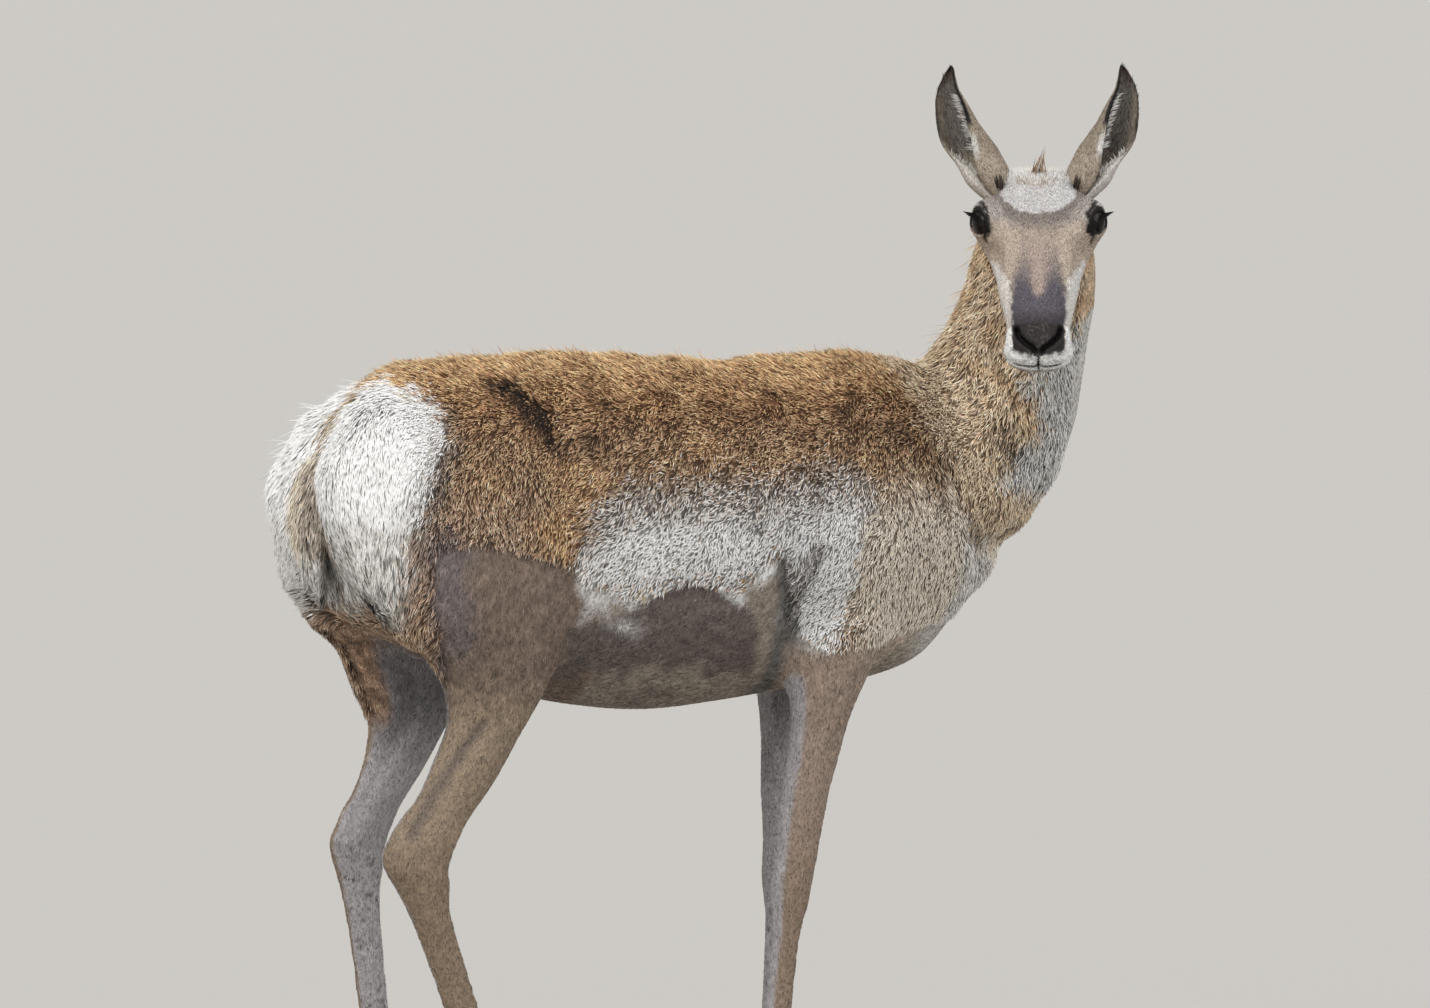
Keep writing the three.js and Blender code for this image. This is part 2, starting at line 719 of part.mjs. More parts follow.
function tail(lowest, grow) {
  const shape = curveOf(TAIL);
  const lean = (TAIL.at(-1)[1] - TAIL.at(-2)[1]) / (tailHigh - TAIL.at(-2)[0]);
  const rings = range(TAIL_STEPS + 1).slice(lowest).map((step) => {
    const height = tailHeight(step);
    const longer = step === lowest ? -grow : step === TAIL_STEPS ? grow : 0;
    const [x, width, thickness] = shape(height);
    const ring = oval(SIDES.tail, width + grow, thickness + grow, thickness + grow);
    const follow = longer * lean * (step / TAIL_STEPS);
    return ring.map(([y, back]) => point(x - back + follow, y, height + longer));
  });
  return solid(loft(rings));
}

// The tail's hair tip: locks side by side that draw in to a blunt point
function tailTip() {
  const low = tailHeight(1);
  const [x, width] = curveOf(TAIL)(low);
  const middle = (TAIL_LOCKS - 1) / 2;
  return range(TAIL_LOCKS).map((i) => {
    const left = (i - middle) / middle;
    const root = [x + (i % 2), left * (width - TAIL_LOCK.width), low + TAIL_LOCK.sunk];
    const size = { ...TAIL_LOCK, length: TAIL_LOCK.length - 3 * abs(left) };
    return lock(root, [0, 0, -1], [0.15, -0.4 * left, -1], [1, 0, 0], size);
  });
}

// Everything of flesh in one piece, then divided with thin cuts
const pieces = {};
const sides = Object.entries({ left: 1, right: -1 });
const limbs = Object.entries(LEGS);
const inHead = (geometry) => solid(geometry.applyMatrix4(headPlace));

const lidBalls = sides.map(([, side]) => inHead(mirrored(ball(EYE_RADIUS + LID), side)));
const legs = limbs.map(([, limb]) => leg(limb));
const crown = [...crownTuft(), hornBud(), mirrored(hornBud(), -1)].map(inHead);
let flesh = joined([trunk(), neck(), inHead(skull()), ...crown, ...lidBalls, ...legs]);

for (const [name, limb] of limbs) {
  const top = LOWER_TOP[limb.kind];
  const [x, y] = limb.joints[2];
  const below = new THREE.Matrix4().makeTranslation(x, y, top / 2 - 20);
  [pieces[`${name}_lower`], flesh] = parted(flesh, boxCutter([260, 130, top + 40], below));
  const upper = sideCutter(UPPER_OUTLINE[limb.kind], sign(limb.toe), UPPER_DEPTH[limb.kind]);
  [pieces[`${name}_upper`], flesh] = parted(flesh, upper);
  pieces[`${name}_claw_inner`] = claw(limb, -sign(limb.toe));
  pieces[`${name}_claw_outer`] = claw(limb, sign(limb.toe));
}

let head;
const headCutter = sideCutter(HEAD_OUTLINE, 1, () => -150);
[head, flesh] = parted(flesh, (grow) => headCutter(grow).transform(headPlace.toArray()));

const chestCut = new THREE.Matrix4().makeTranslation(...CHEST_CUT.at);
chestCut.multiply(new THREE.Matrix4().makeRotationY(CHEST_CUT.slope));
const before = new THREE.Matrix4().makeTranslation(200, 0, 0);
[pieces.neck, flesh] = parted(flesh, boxCutter([400, 400, 600], chestCut.multiply(before)));

pieces.tail = joined([tail(1, 0), ...tailTip().map(solid)]);
pieces.torso = largest(flesh.subtract(tail(0, GAP)));

// The head's own openings, eyes and ears
const nostril = pit(NOSTRIL);
for (const [name, side] of sides) {
  const openings = [lidOpening(), ball(EYE_RADIUS + GAP), nostril.clone()];
  head = openings.reduce((body, cut) => body.subtract(inHead(mirrored(cut, side))), head);
  pieces[`eye_${name}`] = inHead(mirrored(ball(EYE_RADIUS), side));
}
head = largest(head.subtract(inHead(mouthLine())));
for (const [name, side] of sides) {
  head = head.add(inHead(mirrored(earLeaf(name), side)));
  const mirror = new THREE.Matrix4().makeScale(1, side, 1);
  const along = new THREE.Matrix4().makeTranslation(EAR_FREE + 80, 0, 0);
  const place = headPlace.clone().multiply(mirror).multiply(earFrame(name));
  [pieces[`ear_${name}`], head] = parted(head, boxCutter([160, 90, 90], place.multiply(along)));
}
pieces.head = head;

// Each part as a mesh with its own finish
function geometryOf(body) {
  const { vertProperties, triVerts } = body.getMesh();
  const geometry = new THREE.BufferGeometry();
  geometry.setAttribute("position", new THREE.BufferAttribute(new Float32Array(vertProperties), 3));
  geometry.setIndex(new THREE.BufferAttribute(new Uint32Array(triVerts), 1));
  geometry.computeVertexNormals();
  return geometry;
}

const FINISHES = [
  // what the name holds, colour, roughness
  ["claw", COLOURS.horn, 0.55],
  ["eye", COLOURS.eye, 0.08],
  ["ear", COLOURS.ear, 0.9],
  ["lower", COLOURS.shin, 0.9],
  ["upper", COLOURS.leg, 0.95],
  ["head", COLOURS.face, 0.9],
  ["neck", COLOURS.neck, 0.95],
  ["tail", COLOURS.tail, 0.95],
  ["torso", COLOURS.back, 0.95],
];

const doe = new THREE.Group();
for (const [name, body] of Object.entries(pieces)) {
  const [, color, roughness] = FINISHES.find(([part]) => name.includes(part));
  const material = new THREE.MeshStandardMaterial({ color, roughness, metalness: 0 });
  const mesh = new THREE.Mesh(geometryOf(body), material);
  mesh.name = name;
  doe.add(mesh);
}

// The origin goes under the middle of the whole animal.
const bounds = new THREE.Box3().setFromObject(doe);
const middle = bounds.getCenter(new THREE.Vector3());
doe.position.set(-middle.x, -middle.y, -bounds.min.z);

export default doe;
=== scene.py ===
# A pronghorn doe, life size, standing with her head turned back, in a plain pale studio.
# Her shape is worked out in her own millimetres (+X forward, +Y her left, +Z up) and
# brought into the frame's metres at the last step of each piece.
import math

import bpy
import numpy as np
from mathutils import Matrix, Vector
from mathutils.bvhtree import BVHTree


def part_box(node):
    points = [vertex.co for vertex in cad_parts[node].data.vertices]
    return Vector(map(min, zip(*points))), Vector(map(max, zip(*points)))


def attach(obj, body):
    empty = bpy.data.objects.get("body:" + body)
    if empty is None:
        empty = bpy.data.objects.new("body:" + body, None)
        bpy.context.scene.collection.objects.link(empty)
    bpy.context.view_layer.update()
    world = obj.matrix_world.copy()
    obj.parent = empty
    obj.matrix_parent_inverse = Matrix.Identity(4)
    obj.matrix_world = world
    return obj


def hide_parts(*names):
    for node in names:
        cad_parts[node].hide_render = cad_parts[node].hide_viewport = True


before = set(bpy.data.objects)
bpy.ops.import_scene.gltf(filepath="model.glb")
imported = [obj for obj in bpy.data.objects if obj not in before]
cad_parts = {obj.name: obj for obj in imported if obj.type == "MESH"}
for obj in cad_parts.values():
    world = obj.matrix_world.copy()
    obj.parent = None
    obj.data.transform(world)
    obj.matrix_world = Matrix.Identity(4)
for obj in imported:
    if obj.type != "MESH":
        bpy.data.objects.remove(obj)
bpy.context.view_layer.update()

# Driving sizes of the body, the same as the solids'
RUMP_X, CHEST_X = -420, 420
RUMP_ROUND, CHEST_ROUND = 100, 95
TRUNK_CORE = 60  # how far inside its ends the middle lies that forms swell out from

# Place, back, belly, half width, widest height, fullness above, fullness below
TRUNK = [
    [-380, 826, 622, 100, 735, 2.1, 2.2],
    [-340, 856, 600, 112, 735, 2.1, 2.2],
    [-280, 884, 575, 119, 730, 2.0, 2.2],
    [-200, 889, 545, 123, 715, 1.9, 2.2],
    [-100, 893, 515, 131, 700, 1.85, 2.2],
    [0, 888, 505, 139, 690, 1.85, 2.2],
    [100, 881, 513, 139, 690, 1.8, 2.1],
    [180, 885, 522, 129, 695, 1.75, 2.0],
    [250, 889, 527, 117, 700, 1.7, 2.0],
    [310, 880, 540, 104, 705, 1.8, 2.0],
    [360, 860, 565, 88, 715, 2.0, 2.0],
    [400, 800, 600, 65, 715, 2.0, 2.0],
]

# Muscles, bones and hollows as place, reach and lift, the same on both sides
TRUNK_FORMS = {
    "shoulder blade": ([275, 100, 760], [75, 60, 105], 9),
    "point of the shoulder": ([368, 84, 668], [42, 50, 50], 13),
    "upper arm": ([232, 112, 662], [60, 50, 60], 12),
    "groove behind the shoulder": ([150, 125, 640], [32, 60, 85], -7),
    "flank hollow": ([-150, 125, 770], [50, 60, 60], -8),
    "hip bone": ([-195, 85, 852], [42, 45, 34], 7),
    "rump half": ([-405, 66, 738], [56, 46, 90], 15),
    "top of the rump half": ([-365, 48, 820], [50, 30, 42], 9),
    "groove under the tail": ([-420, 0, 700], [70, 56, 100], -52),
    "parting of the rump": ([-365, 0, 822], [60, 22, 50], -12),
    "brisket": ([400, 0, 612], [40, 40, 40], 8),
}

NECK_PATH = [
    [250, 0, 720],
    [334, 0, 735],
    [415, -8, 800],
    [452, -20, 880],
    [467, -32, 960],
    [473, -38, 1062],
]
# Place along the path, half depth, half width
NECK_GIRTH = [[0, 148, 96], [1, 138, 92], [2, 104, 77], [3, 82, 64], [4, 71, 56], [5, 62, 52]]
NAPE_ROUND = 0.85  # the last part of the path, over which the nape rounds off

# The head lies along its own +X, with +Y to her left and +Z to the crown
HEAD_JOINT = np.array([472.0, -39.0, 1040.0])
HEAD_TURN, HEAD_DIP = math.radians(-120.4), math.radians(35)
HEAD_LENGTH, NOSE_ROUND, NOSE_CORE = 272, 27, 18
# Distance from the joint, top, bottom, half width, widest height, fullness above, below
HEAD = [
    [-12, 34, -36, 34, 0, 2.0, 2.0],
    [8, 49, -50, 43, 2, 2.2, 2.1],
    [30, 60, -63, 51, 6, 2.4, 2.1],
    [60, 65, -72, 58, 15, 2.6, 2.0],
    [95, 60, -66, 61, 24, 3.0, 1.9],
    [112, 57, -61, 56, 20, 2.9, 1.95],
    [130, 52, -57, 49, 12, 2.5, 2.0],
    [170, 42, -49, 43, 0, 2.4, 2.1],
    [205, 33, -45, 35, -5, 2.3, 2.2],
    [235, 27, -44, 32, -8, 2.3, 2.3],
    [256, 22, -43, 36, -10, 2.4, 2.4],
]
HEAD_FORMS = {
    "corner of the crown": ([14, 32, 40], [26, 14, 18], 8),
    "brow": ([73, 64, 56], [20, 16, 15], 15),
    "orbit": ([88, 58, 42], [30, 26, 26], 15),
    "cheek bone": ([122, 52, 8], [34, 14, 9], 3),
    "hollow before the eye": ([126, 48, 30], [16, 14, 12], -4),
    "chewing muscle": ([56, 56, -24], [32, 22, 32], 5),
    "jaw hollow": ([165, 44, -20], [26, 16, 16], -4),
    "nose bone": ([180, 0, 42], [60, 12, 14], 2),
    "nostril wing": ([250, 27, 10], [13, 10, 10], 4),
    "upper lip": ([246, 30, -14], [18, 12, 9], 4),
    "lip cleft": ([272, 0, -12], [12, 4, 12], -3),
    "chin": ([240, 0, -44], [16, 18, 12], 3),
}
EYE_AT, EYE_FACING, EYE_UP = [92, 53, 44], [0.42, 0.88, 0.2], [0.28, 0, 1]
EYE_RADIUS, LID = 19, 2
EYELIDS = {"half": 13.5, "above": 10.5, "below": 8.5}
MOUTH = {"corner": 196, "tip": 262, "level": -18, "droop": 0.06}
# The tuft on the crown grows from a patch in front of a point and leans to its peak
CROWN_TUFT = {"root": [29, -1, 60], "reach": [4, 10], "peak": [30, 6, 99], "hairs": 22}
HORN_BUD = {"at": [46, 41, 57], "length": 10, "hairs": 26}

EAR_ROOT, EAR_ALONG, EAR_FACING = [46, 34, 32], [-0.729, 0.357, 0.585], [0.65, 0.6, 0.45]
EAR_LEAN = {1: -0.03, -1: 0}  # her left ear leans in a little
EAR_LENGTH = 166
# Part of the length, radius of the roll, half angle of the roll, wall, bend out
EAR_SHAPE = [
    [0, 8, 172, 6.5, 0],
    [0.12, 19, 172, 17, 5],
    [0.24, 24.5, 165, 17, 8.5],
    [0.35, 24.5, 150, 6, 11],
    [0.455, 24.5, 128, 4, 16.5],
    [0.56, 23.5, 108, 3.8, 20.5],
    [0.666, 21.5, 95, 3.4, 21],
    [0.78, 17.5, 85, 3, 20],
    [0.877, 13.5, 80, 2.8, 15],
    [0.956, 8.5, 75, 2.4, 8],
    [1, 3, 75, 1.4, 2],
]

LEGS = {
    "hind_right": ("hind", -18, [[-265, -70, 760], [-165, -88, 612], [-306, -80, 350], [-219, -80, 96]]),
    "hind_left": ("hind", 18, [[-262, 70, 760], [-166, 88, 612], [-295, 78, 358], [-266, 80, 96]]),
    "fore_right": ("fore", -6, [[345, -70, 665], [205, -84, 585], [147, -75, 318], [122, -70, 92]]),
    "fore_left": ("fore", 6, [[345, 70, 665], [245, 82, 585], [216, 68, 318], [197, 60, 92]]),
}
PASTERN, CORONET = 22, 46
CLAW_LENGTH = {"fore": 74, "hind": 69}
# Place (a whole number is a joint, 3 the fetlock and 4 the coronet), behind, before, half width
GIRTH = {
    "hind": [
        [-0.25, 90, 70, 26],
        [0, 138, 110, 42],
        [0.4, 176, 102, 50],
        [0.74, 196, 78, 50],
        [1, 188, 46, 46],
        [1.12, 128, 46, 43],
        [1.23, 92, 47, 40],
        [1.31, 70, 47, 38],
        [1.39, 57, 45, 35],
        [1.47, 49, 42, 32],
        [1.59, 44, 40, 28],
        [1.71, 42, 34, 24],
        [1.83, 49, 27, 21],
        [1.93, 49, 28, 21],
        [2, 38, 31, 21],
        [2.19, 26, 19, 17],
        [2.31, 23, 18, 14.5],
        [2.56, 20, 18, 13],
        [2.8, 19, 18, 13],
        [2.92, 24, 20, 16],
        [3, 27, 21, 18],
        [3.3, 22, 20, 18],
        [4, 24, 26, 24],
    ],
    "fore": [
        [0.15, 50, 30, 24],
        [0.5, 92, 32, 34],
        [0.8, 84, 42, 37],
        [1, 68, 52, 37],
        [1.1, 62, 47, 34],
        [1.16, 57, 42, 32],
        [1.25, 51, 34, 29],
        [1.37, 43, 27, 26],
        [1.5, 38, 24, 24],
        [1.64, 35, 20, 21],
        [1.79, 29, 20, 19],
        [1.9, 26, 21, 19.5],
        [2, 25, 21, 20],
        [2.08, 22, 20, 18.5],
        [2.2, 18, 15, 15],
        [2.33, 17, 13.5, 13],
        [2.6, 16.5, 14, 13],
        [2.8, 17, 15, 13],
        [2.92, 22, 17, 16],
        [3, 25, 18, 17.5],
        [3.3, 20, 18, 18],
        [4, 24, 26, 24],
    ],
}
# Height, centre x, half width, half thickness
TAIL = [
    [632, -384, 6, 4],
    [648, -389, 18, 9],
    [672, -394, 26, 12],
    [704, -396, 30, 14],
    [738, -394, 27, 14],
    [770, -385, 19, 13],
    [800, -366, 13, 12],
    [826, -340, 12, 10],
]

TAIL_ASIDE = -5  # she carries it a little to the right

VOXEL = 5.65  # cell size with which the body's parts are fused
MM = 1000  # millimetres in a metre

# Points round each ring of a part's skin
TRUNK_SIDES, NECK_SIDES, LEG_SIDES, TAIL_SIDES, SKULL_SIDES = 150, 120, 72, 40, 220
EAR_OUTSIDE, EAR_INSIDE = 34, 30
CLAW_ROUND, CLAW_FLAT = 40, 12
CLAW_INNER = 1.6  # how far a claw's flat inner wall stands from the foot's middle


# General helpers
def unit(vectors):
    vectors = np.asarray(vectors, float)
    return vectors / np.maximum(np.linalg.norm(vectors, axis=-1, keepdims=True), 1e-9)


def ramp(value, low, high):
    """0 below low, 1 above high and smooth between them. The ends may come in either order."""
    t = np.clip((np.asarray(value, float) - low) / (high - low), 0, 1)
    return t * t * (3 - 2 * t)


def mix(first, second, share):
    return first + (second - first) * share


def curve_of(table, places):
    """A table's columns at places, along a smooth curve that never overshoots."""
    rows = np.array(table, float)
    x, y = rows[:, 0], rows[:, 1:]
    places = np.clip(np.atleast_1d(places).astype(float), x[0], x[-1])
    i = np.clip(np.searchsorted(x, places) - 1, 0, len(x) - 2)
    rise = np.diff(y, axis=0) / np.diff(x)[:, None]
    before = rise[np.clip(np.arange(len(x)) - 1, 0, None)]
    after = rise[np.clip(np.arange(len(x)), None, len(x) - 2)]
    same = before * after > 0
    slope = np.where(same, 2 * before * after / np.where(same, before + after, 1), 0)
    width = (x[i + 1] - x[i])[:, None]
    t = (places - x[i])[:, None] / width
    ease = t * t * (3 - 2 * t)
    leave = slope[i] * width * t * (1 - t) ** 2
    arrive = slope[i + 1] * width * t * t * (1 - t)
    return mix(y[i], y[i + 1], ease) + leave - arrive


def smooth_path(points, places):
    """Points on a curve through a few given ones. A whole place is a given point."""
    points = np.array(points, float)
    ends = np.vstack([2 * points[0] - points[1], points, 2 * points[-1] - points[-2]])
    places = np.asarray(places, float)
    i = np.clip(places.astype(int), 0, len(points) - 2)
    t = (places - i)[:, None]
    a, b, c, d = (ends[i + k] for k in range(4))
    return 0.5 * (2 * b + (c - a) * t + (2 * a - 5 * b + 4 * c - d) * t**2 + (3 * (b - c) + d - a) * t**3)


def oval(sides, half, up, down, full_up=2.0, full_down=2.0):
    """One ring of a section as across and up. Fullness 2 is an ellipse and more is boxier."""
    turn = 2 * math.pi * np.arange(sides) / sides
    power = 2 / np.where(np.sin(turn) > 0, full_up, full_down)
    across = np.sign(np.cos(turn)) * np.abs(np.cos(turn)) ** power
    height = np.sign(np.sin(turn)) * np.abs(np.sin(turn)) ** power
    return half * across, np.where(np.sin(turn) > 0, up, down) * height


def rounding(distance, length, power):
    """How much of its size a section has near a rounded end."""
    t = np.clip(1 - distance / length, 0, 1)
    return (1 - t**power) ** (1 / power)


def stations(start, end, start_round, end_round, caps, between):
    """Places along a line that crowd together towards both rounded ends."""
    turn = math.pi / 2 * (np.arange(caps) + 0.15) / caps
    first = start + start_round * (1 - np.cos(turn))
    last = end - end_round * (1 - np.cos(turn))
    middle = np.linspace(start + start_round, end - end_round, between + 1)
    return np.concatenate([first, middle, last[::-1]])


def shaped(points, middle, forms):
    """Moves points out from, or in to, a middle by the forms near them."""
    amount = np.zeros(len(points))
    folded = np.column_stack([points[:, 0], np.abs(points[:, 1]), points[:, 2]])
    for at, reach, lift in forms.values():
        amount += lift * np.exp(-(((folded - at) / reach) ** 2).sum(axis=1))
    return points + unit(points - middle) * amount[:, None]


def loft(rings):
    """Points and triangles of a closed skin over rings that have equally many points."""
    count, sides = rings.shape[:2]
    points = np.vstack([rings.reshape(-1, 3), rings[0].mean(axis=0), rings[-1].mean(axis=0)])
    ring, side = np.meshgrid(np.arange(count - 1), np.arange(sides), indexing="ij")
    a = (ring * sides + side).ravel()
    b = (ring * sides + (side + 1) % sides).ravel()
    i = np.arange(sides)
    j = (i + 1) % sides
    start = np.column_stack([np.full(sides, len(points) - 2), j, i])
    last = (count - 1) * sides
    end = np.column_stack([np.full(sides, len(points) - 1), last + i, last + j])
    walls = [np.column_stack([a, b, a + sides]), np.column_stack([b, b + sides, a + sides])]
    return points, outwards(points, np.vstack([*walls, start, end]))


def outwards(points, faces):
    """Turns a closed skin's faces round if they point in."""
    a, b, c = (points[faces[:, k]] for k in range(3))
    volume = np.einsum("ij,ij->", a, np.cross(b, c))
    return faces if volume > 0 else faces[:, ::-1]


def joined(skins):
    """Several skins as one list of points and one of faces."""
    points, faces, count = [], [], 0
    for own_points, own_faces in skins:
        points.append(own_points)
        faces.append(own_faces + count)
        count += len(own_points)
    return np.vstack(points), np.vstack(faces)


def normals_of(points, faces):
    corners = [points[faces[:, k]] for k in range(3)]
    flat = np.cross(corners[1] - corners[0], corners[2] - corners[0])
    total = np.zeros_like(points)
    for k in range(3):
        for axis in range(3):
            total[:, axis] += np.bincount(faces[:, k], weights=flat[:, axis], minlength=len(points))
    return unit(total)


def edges_of(faces):
    pairs = np.vstack([faces[:, [0, 1]], faces[:, [1, 2]], faces[:, [2, 0]]])
    return np.unique(np.sort(pairs, axis=1), axis=0)


def relaxed(points, faces, steps, share):
    """Moves each point towards the middle of its neighbours, step by step."""
    edges = edges_of(faces)
    near = np.bincount(edges.ravel(), minlength=len(points))[:, None]
    share = np.broadcast_to(share, len(points))[:, None]
    for step in steps:
        total = np.zeros_like(points)
        for axis in range(3):
            for one, other in ((0, 1), (1, 0)):
                total[:, axis] += np.bincount(
                    edges[:, one], weights=points[edges[:, other], axis], minlength=len(points)
                )
        points = points + (total / near - points) * share * step
    return points


def waves(points, size, seed, count=20):
    """A smooth random field of about -1 to 1, with lumps about as large as size."""
    rng = np.random.default_rng(seed)
    ways = unit(rng.normal(size=(count, 3))) / (size * rng.uniform(0.35, 0.8, (count, 1)))
    phase = rng.uniform(0, 2 * math.pi, count)
    return np.sin(points @ ways.T * math.pi + phase).sum(axis=1) * math.sqrt(2 / count) * 0.7


def three_waves(points, size, seed):
    """Three such fields, as a random push for each point."""
    return np.column_stack([waves(points, size, seed + k) for k in range(3)])


# Frames
def turn_about(axis, angle):
    c, s = math.cos(angle), math.sin(angle)
    if axis == "z":
        return np.array([[c, -s, 0], [s, c, 0], [0, 0, 1]])
    return np.array([[c, 0, s], [0, 1, 0], [-s, 0, c]])


HEAD_FRAME = turn_about("z", HEAD_TURN) @ turn_about("y", HEAD_DIP)


def from_head(points):
    return np.asarray(points, float) @ HEAD_FRAME.T + HEAD_JOINT


def looking(forward, up):
    """A frame, as columns, that looks along a direction, with its own up near the given one."""
    x = unit(forward)
    y = unit(np.cross(up, x))
    return np.column_stack([x, y, np.cross(x, y)])


def eye_frame():
    return looking(EYE_FACING, EYE_UP)


def from_eye(points, side):
    """Points of an eye's own frame in the head's. Side is 1 for her left eye and -1 for the right."""
    return (points @ eye_frame().T + EYE_AT) * [1, side, 1]


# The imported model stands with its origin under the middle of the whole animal.
_low, _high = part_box("eye_left")
SHIFT = np.array((_low + _high) / 2) - from_head(EYE_AT) / MM


def in_metres(points):
    return np.asarray(points, float) / MM + SHIFT


def new_mesh(name, points, faces):
    """A mesh in metres from points in the animal's millimetres."""
    faces = np.ascontiguousarray(faces, dtype=np.int32)
    mesh = bpy.data.meshes.new(name)
    mesh.vertices.add(len(points))
    mesh.vertices.foreach_set("co", in_metres(points).astype(np.float32).ravel())
    mesh.loops.add(faces.size)
    mesh.loops.foreach_set("vertex_index", faces.ravel())
    mesh.polygons.add(len(faces))
    starts = np.arange(0, faces.size, faces.shape[1], dtype=np.int32)
    mesh.polygons.foreach_set("loop_start", starts)
    mesh.polygons.foreach_set("use_smooth", np.ones(len(faces), bool))
    mesh.update(calc_edges=True)
    return mesh


def new_object(name, points, faces, material):
    mesh = new_mesh(name, points, faces)
    mesh.materials.append(material)
    made = bpy.data.objects.new(name, mesh)
    bpy.context.scene.collection.objects.link(made)
    return made


def paint(mesh, colours):
    """Gives each point its colour, as the attribute that the coat's materials read."""
    layer = mesh.color_attributes.new("coat", "FLOAT_COLOR", "POINT")
    full = np.ones((len(colours), 4), np.float32)
    full[:, :3] = colours
    layer.data.foreach_set("color", full.ravel())


# The body's parts
def trunk():
    places = stations(RUMP_X, CHEST_X, RUMP_ROUND, CHEST_ROUND, 16, 110)
    rings = []
    for x, row in zip(places, curve_of(TRUNK, places)):
        back, belly, half, widest, full_up, full_down = row
        behind, before = x - RUMP_X, CHEST_X - x
        tall = rounding(behind, RUMP_ROUND, 2.2) * rounding(before, CHEST_ROUND, 2.2)
        wide = rounding(behind, RUMP_ROUND, 3) * rounding(before, CHEST_ROUND, 2.6)
        up, down = (back - widest) * tall, (widest - belly) * tall
        y, z = oval(TRUNK_SIDES, half * wide, up, down, full_up, full_down)
        middle = [np.clip(x, RUMP_X + TRUNK_CORE, CHEST_X - TRUNK_CORE), 0, widest]
        rings.append(shaped(np.column_stack([np.full(len(y), x), y, widest + z]), middle, TRUNK_FORMS))
    return loft(np.array(rings))


def neck():
    top = len(NECK_PATH) - 1
    even = (top - NAPE_ROUND) * np.arange(50) / 50
    nape = top - NAPE_ROUND * (1 - np.sin(math.pi / 2 * (np.arange(16) + 0.1) / 16.5))
    places = np.concatenate([even, nape])
    centres = smooth_path(NECK_PATH, places)
    step = 0.01
    later = smooth_path(NECK_PATH, np.minimum(places + step, top))
    along = unit(later - smooth_path(NECK_PATH, np.maximum(places - step, 0)))
    sizes = curve_of(NECK_GIRTH, places)
    rings = []
    for place, centre, ahead, (depth, width) in zip(places, centres, along, sizes):
        size = rounding(top - place, NAPE_ROUND, 2)
        turn = HEAD_TURN * 0.5 * (place / top) ** 2
        left = np.array([-math.sin(turn), math.cos(turn), 0])
        left = unit(left - ahead * left.dot(ahead))
        crest = -np.cross(ahead, left)
        y, z = oval(NECK_SIDES, width * size, depth * size, depth * size, 1.9, 2)
        rings.append(centre + np.outer(y, left) - np.outer(z, crest))
    return loft(np.array(rings))


def leg_bones(name):
    kind, toe, joints = LEGS[name]
    bones = np.array(joints, float)
    turn = math.radians(toe)
    foot = bones[-1] + [PASTERN * math.cos(turn), PASTERN * math.sin(turn), 0]
    foot[2] = CORONET
    return kind, turn, np.vstack([bones, foot])


def leg(name):
    kind, toe, bones = leg_bones(name)
    table = GIRTH[kind]
    places = np.linspace(table[0][0], table[-1][0], 150)
    rings = []
    for place, (behind, before, half) in zip(places, curve_of(table, places)):
        i = int(np.clip(math.floor(place), 0, len(bones) - 2))
        centre = mix(bones[i], bones[i + 1], place - i)
        turn = toe * ramp(place, 1, 2)
        slant = 0.2 if place == places[-1] else 0
        across, along = oval(LEG_SIDES, 1, 1, 1)
        forward = along * (before + behind) / 2 + (before - behind) / 2
        left = across * half
        x = centre[0] + forward * math.cos(turn) - left * math.sin(turn)
        y = centre[1] + forward * math.sin(turn) + left * math.cos(turn)
        rings.append(np.column_stack([x, y, centre[2] + forward * slant]))
    return loft(np.array(rings))


def tail():
    heights = np.linspace(TAIL[0][0], TAIL[-1][0], 40)
    rings = []
    for height, (x, width, thickness) in zip(heights, curve_of(TAIL, heights)):
        y, back = oval(TAIL_SIDES, width, thickness, thickness)
        rings.append(np.column_stack([x - back, y + TAIL_ASIDE, np.full(len(y), height)]))
    return loft(np.array(rings))


def fused(points, faces):
    """One closed skin round several that overlap."""
    mesh = new_mesh("fusing", points, faces)
    made = bpy.data.objects.new("fusing", mesh)
    bpy.context.scene.collection.objects.link(made)
    remesh = made.modifiers.new("fuse", "REMESH")
    remesh.mode = "VOXEL"
    remesh.voxel_size = VOXEL / MM
    whole = made.evaluated_get(bpy.context.evaluated_depsgraph_get()).to_mesh()
    spots = np.empty(len(whole.vertices) * 3, np.float32)
    whole.vertices.foreach_get("co", spots)
    whole.calc_loop_triangles()
    corners = np.empty(len(whole.loop_triangles) * 3, np.int32)
    whole.loop_triangles.foreach_get("vertices", corners)
    bpy.data.objects.remove(made)
    bpy.data.meshes.remove(mesh)
    spots = (spots.reshape(-1, 3) - SHIFT) * MM
    return spots, outwards(spots, corners.reshape(-1, 3))


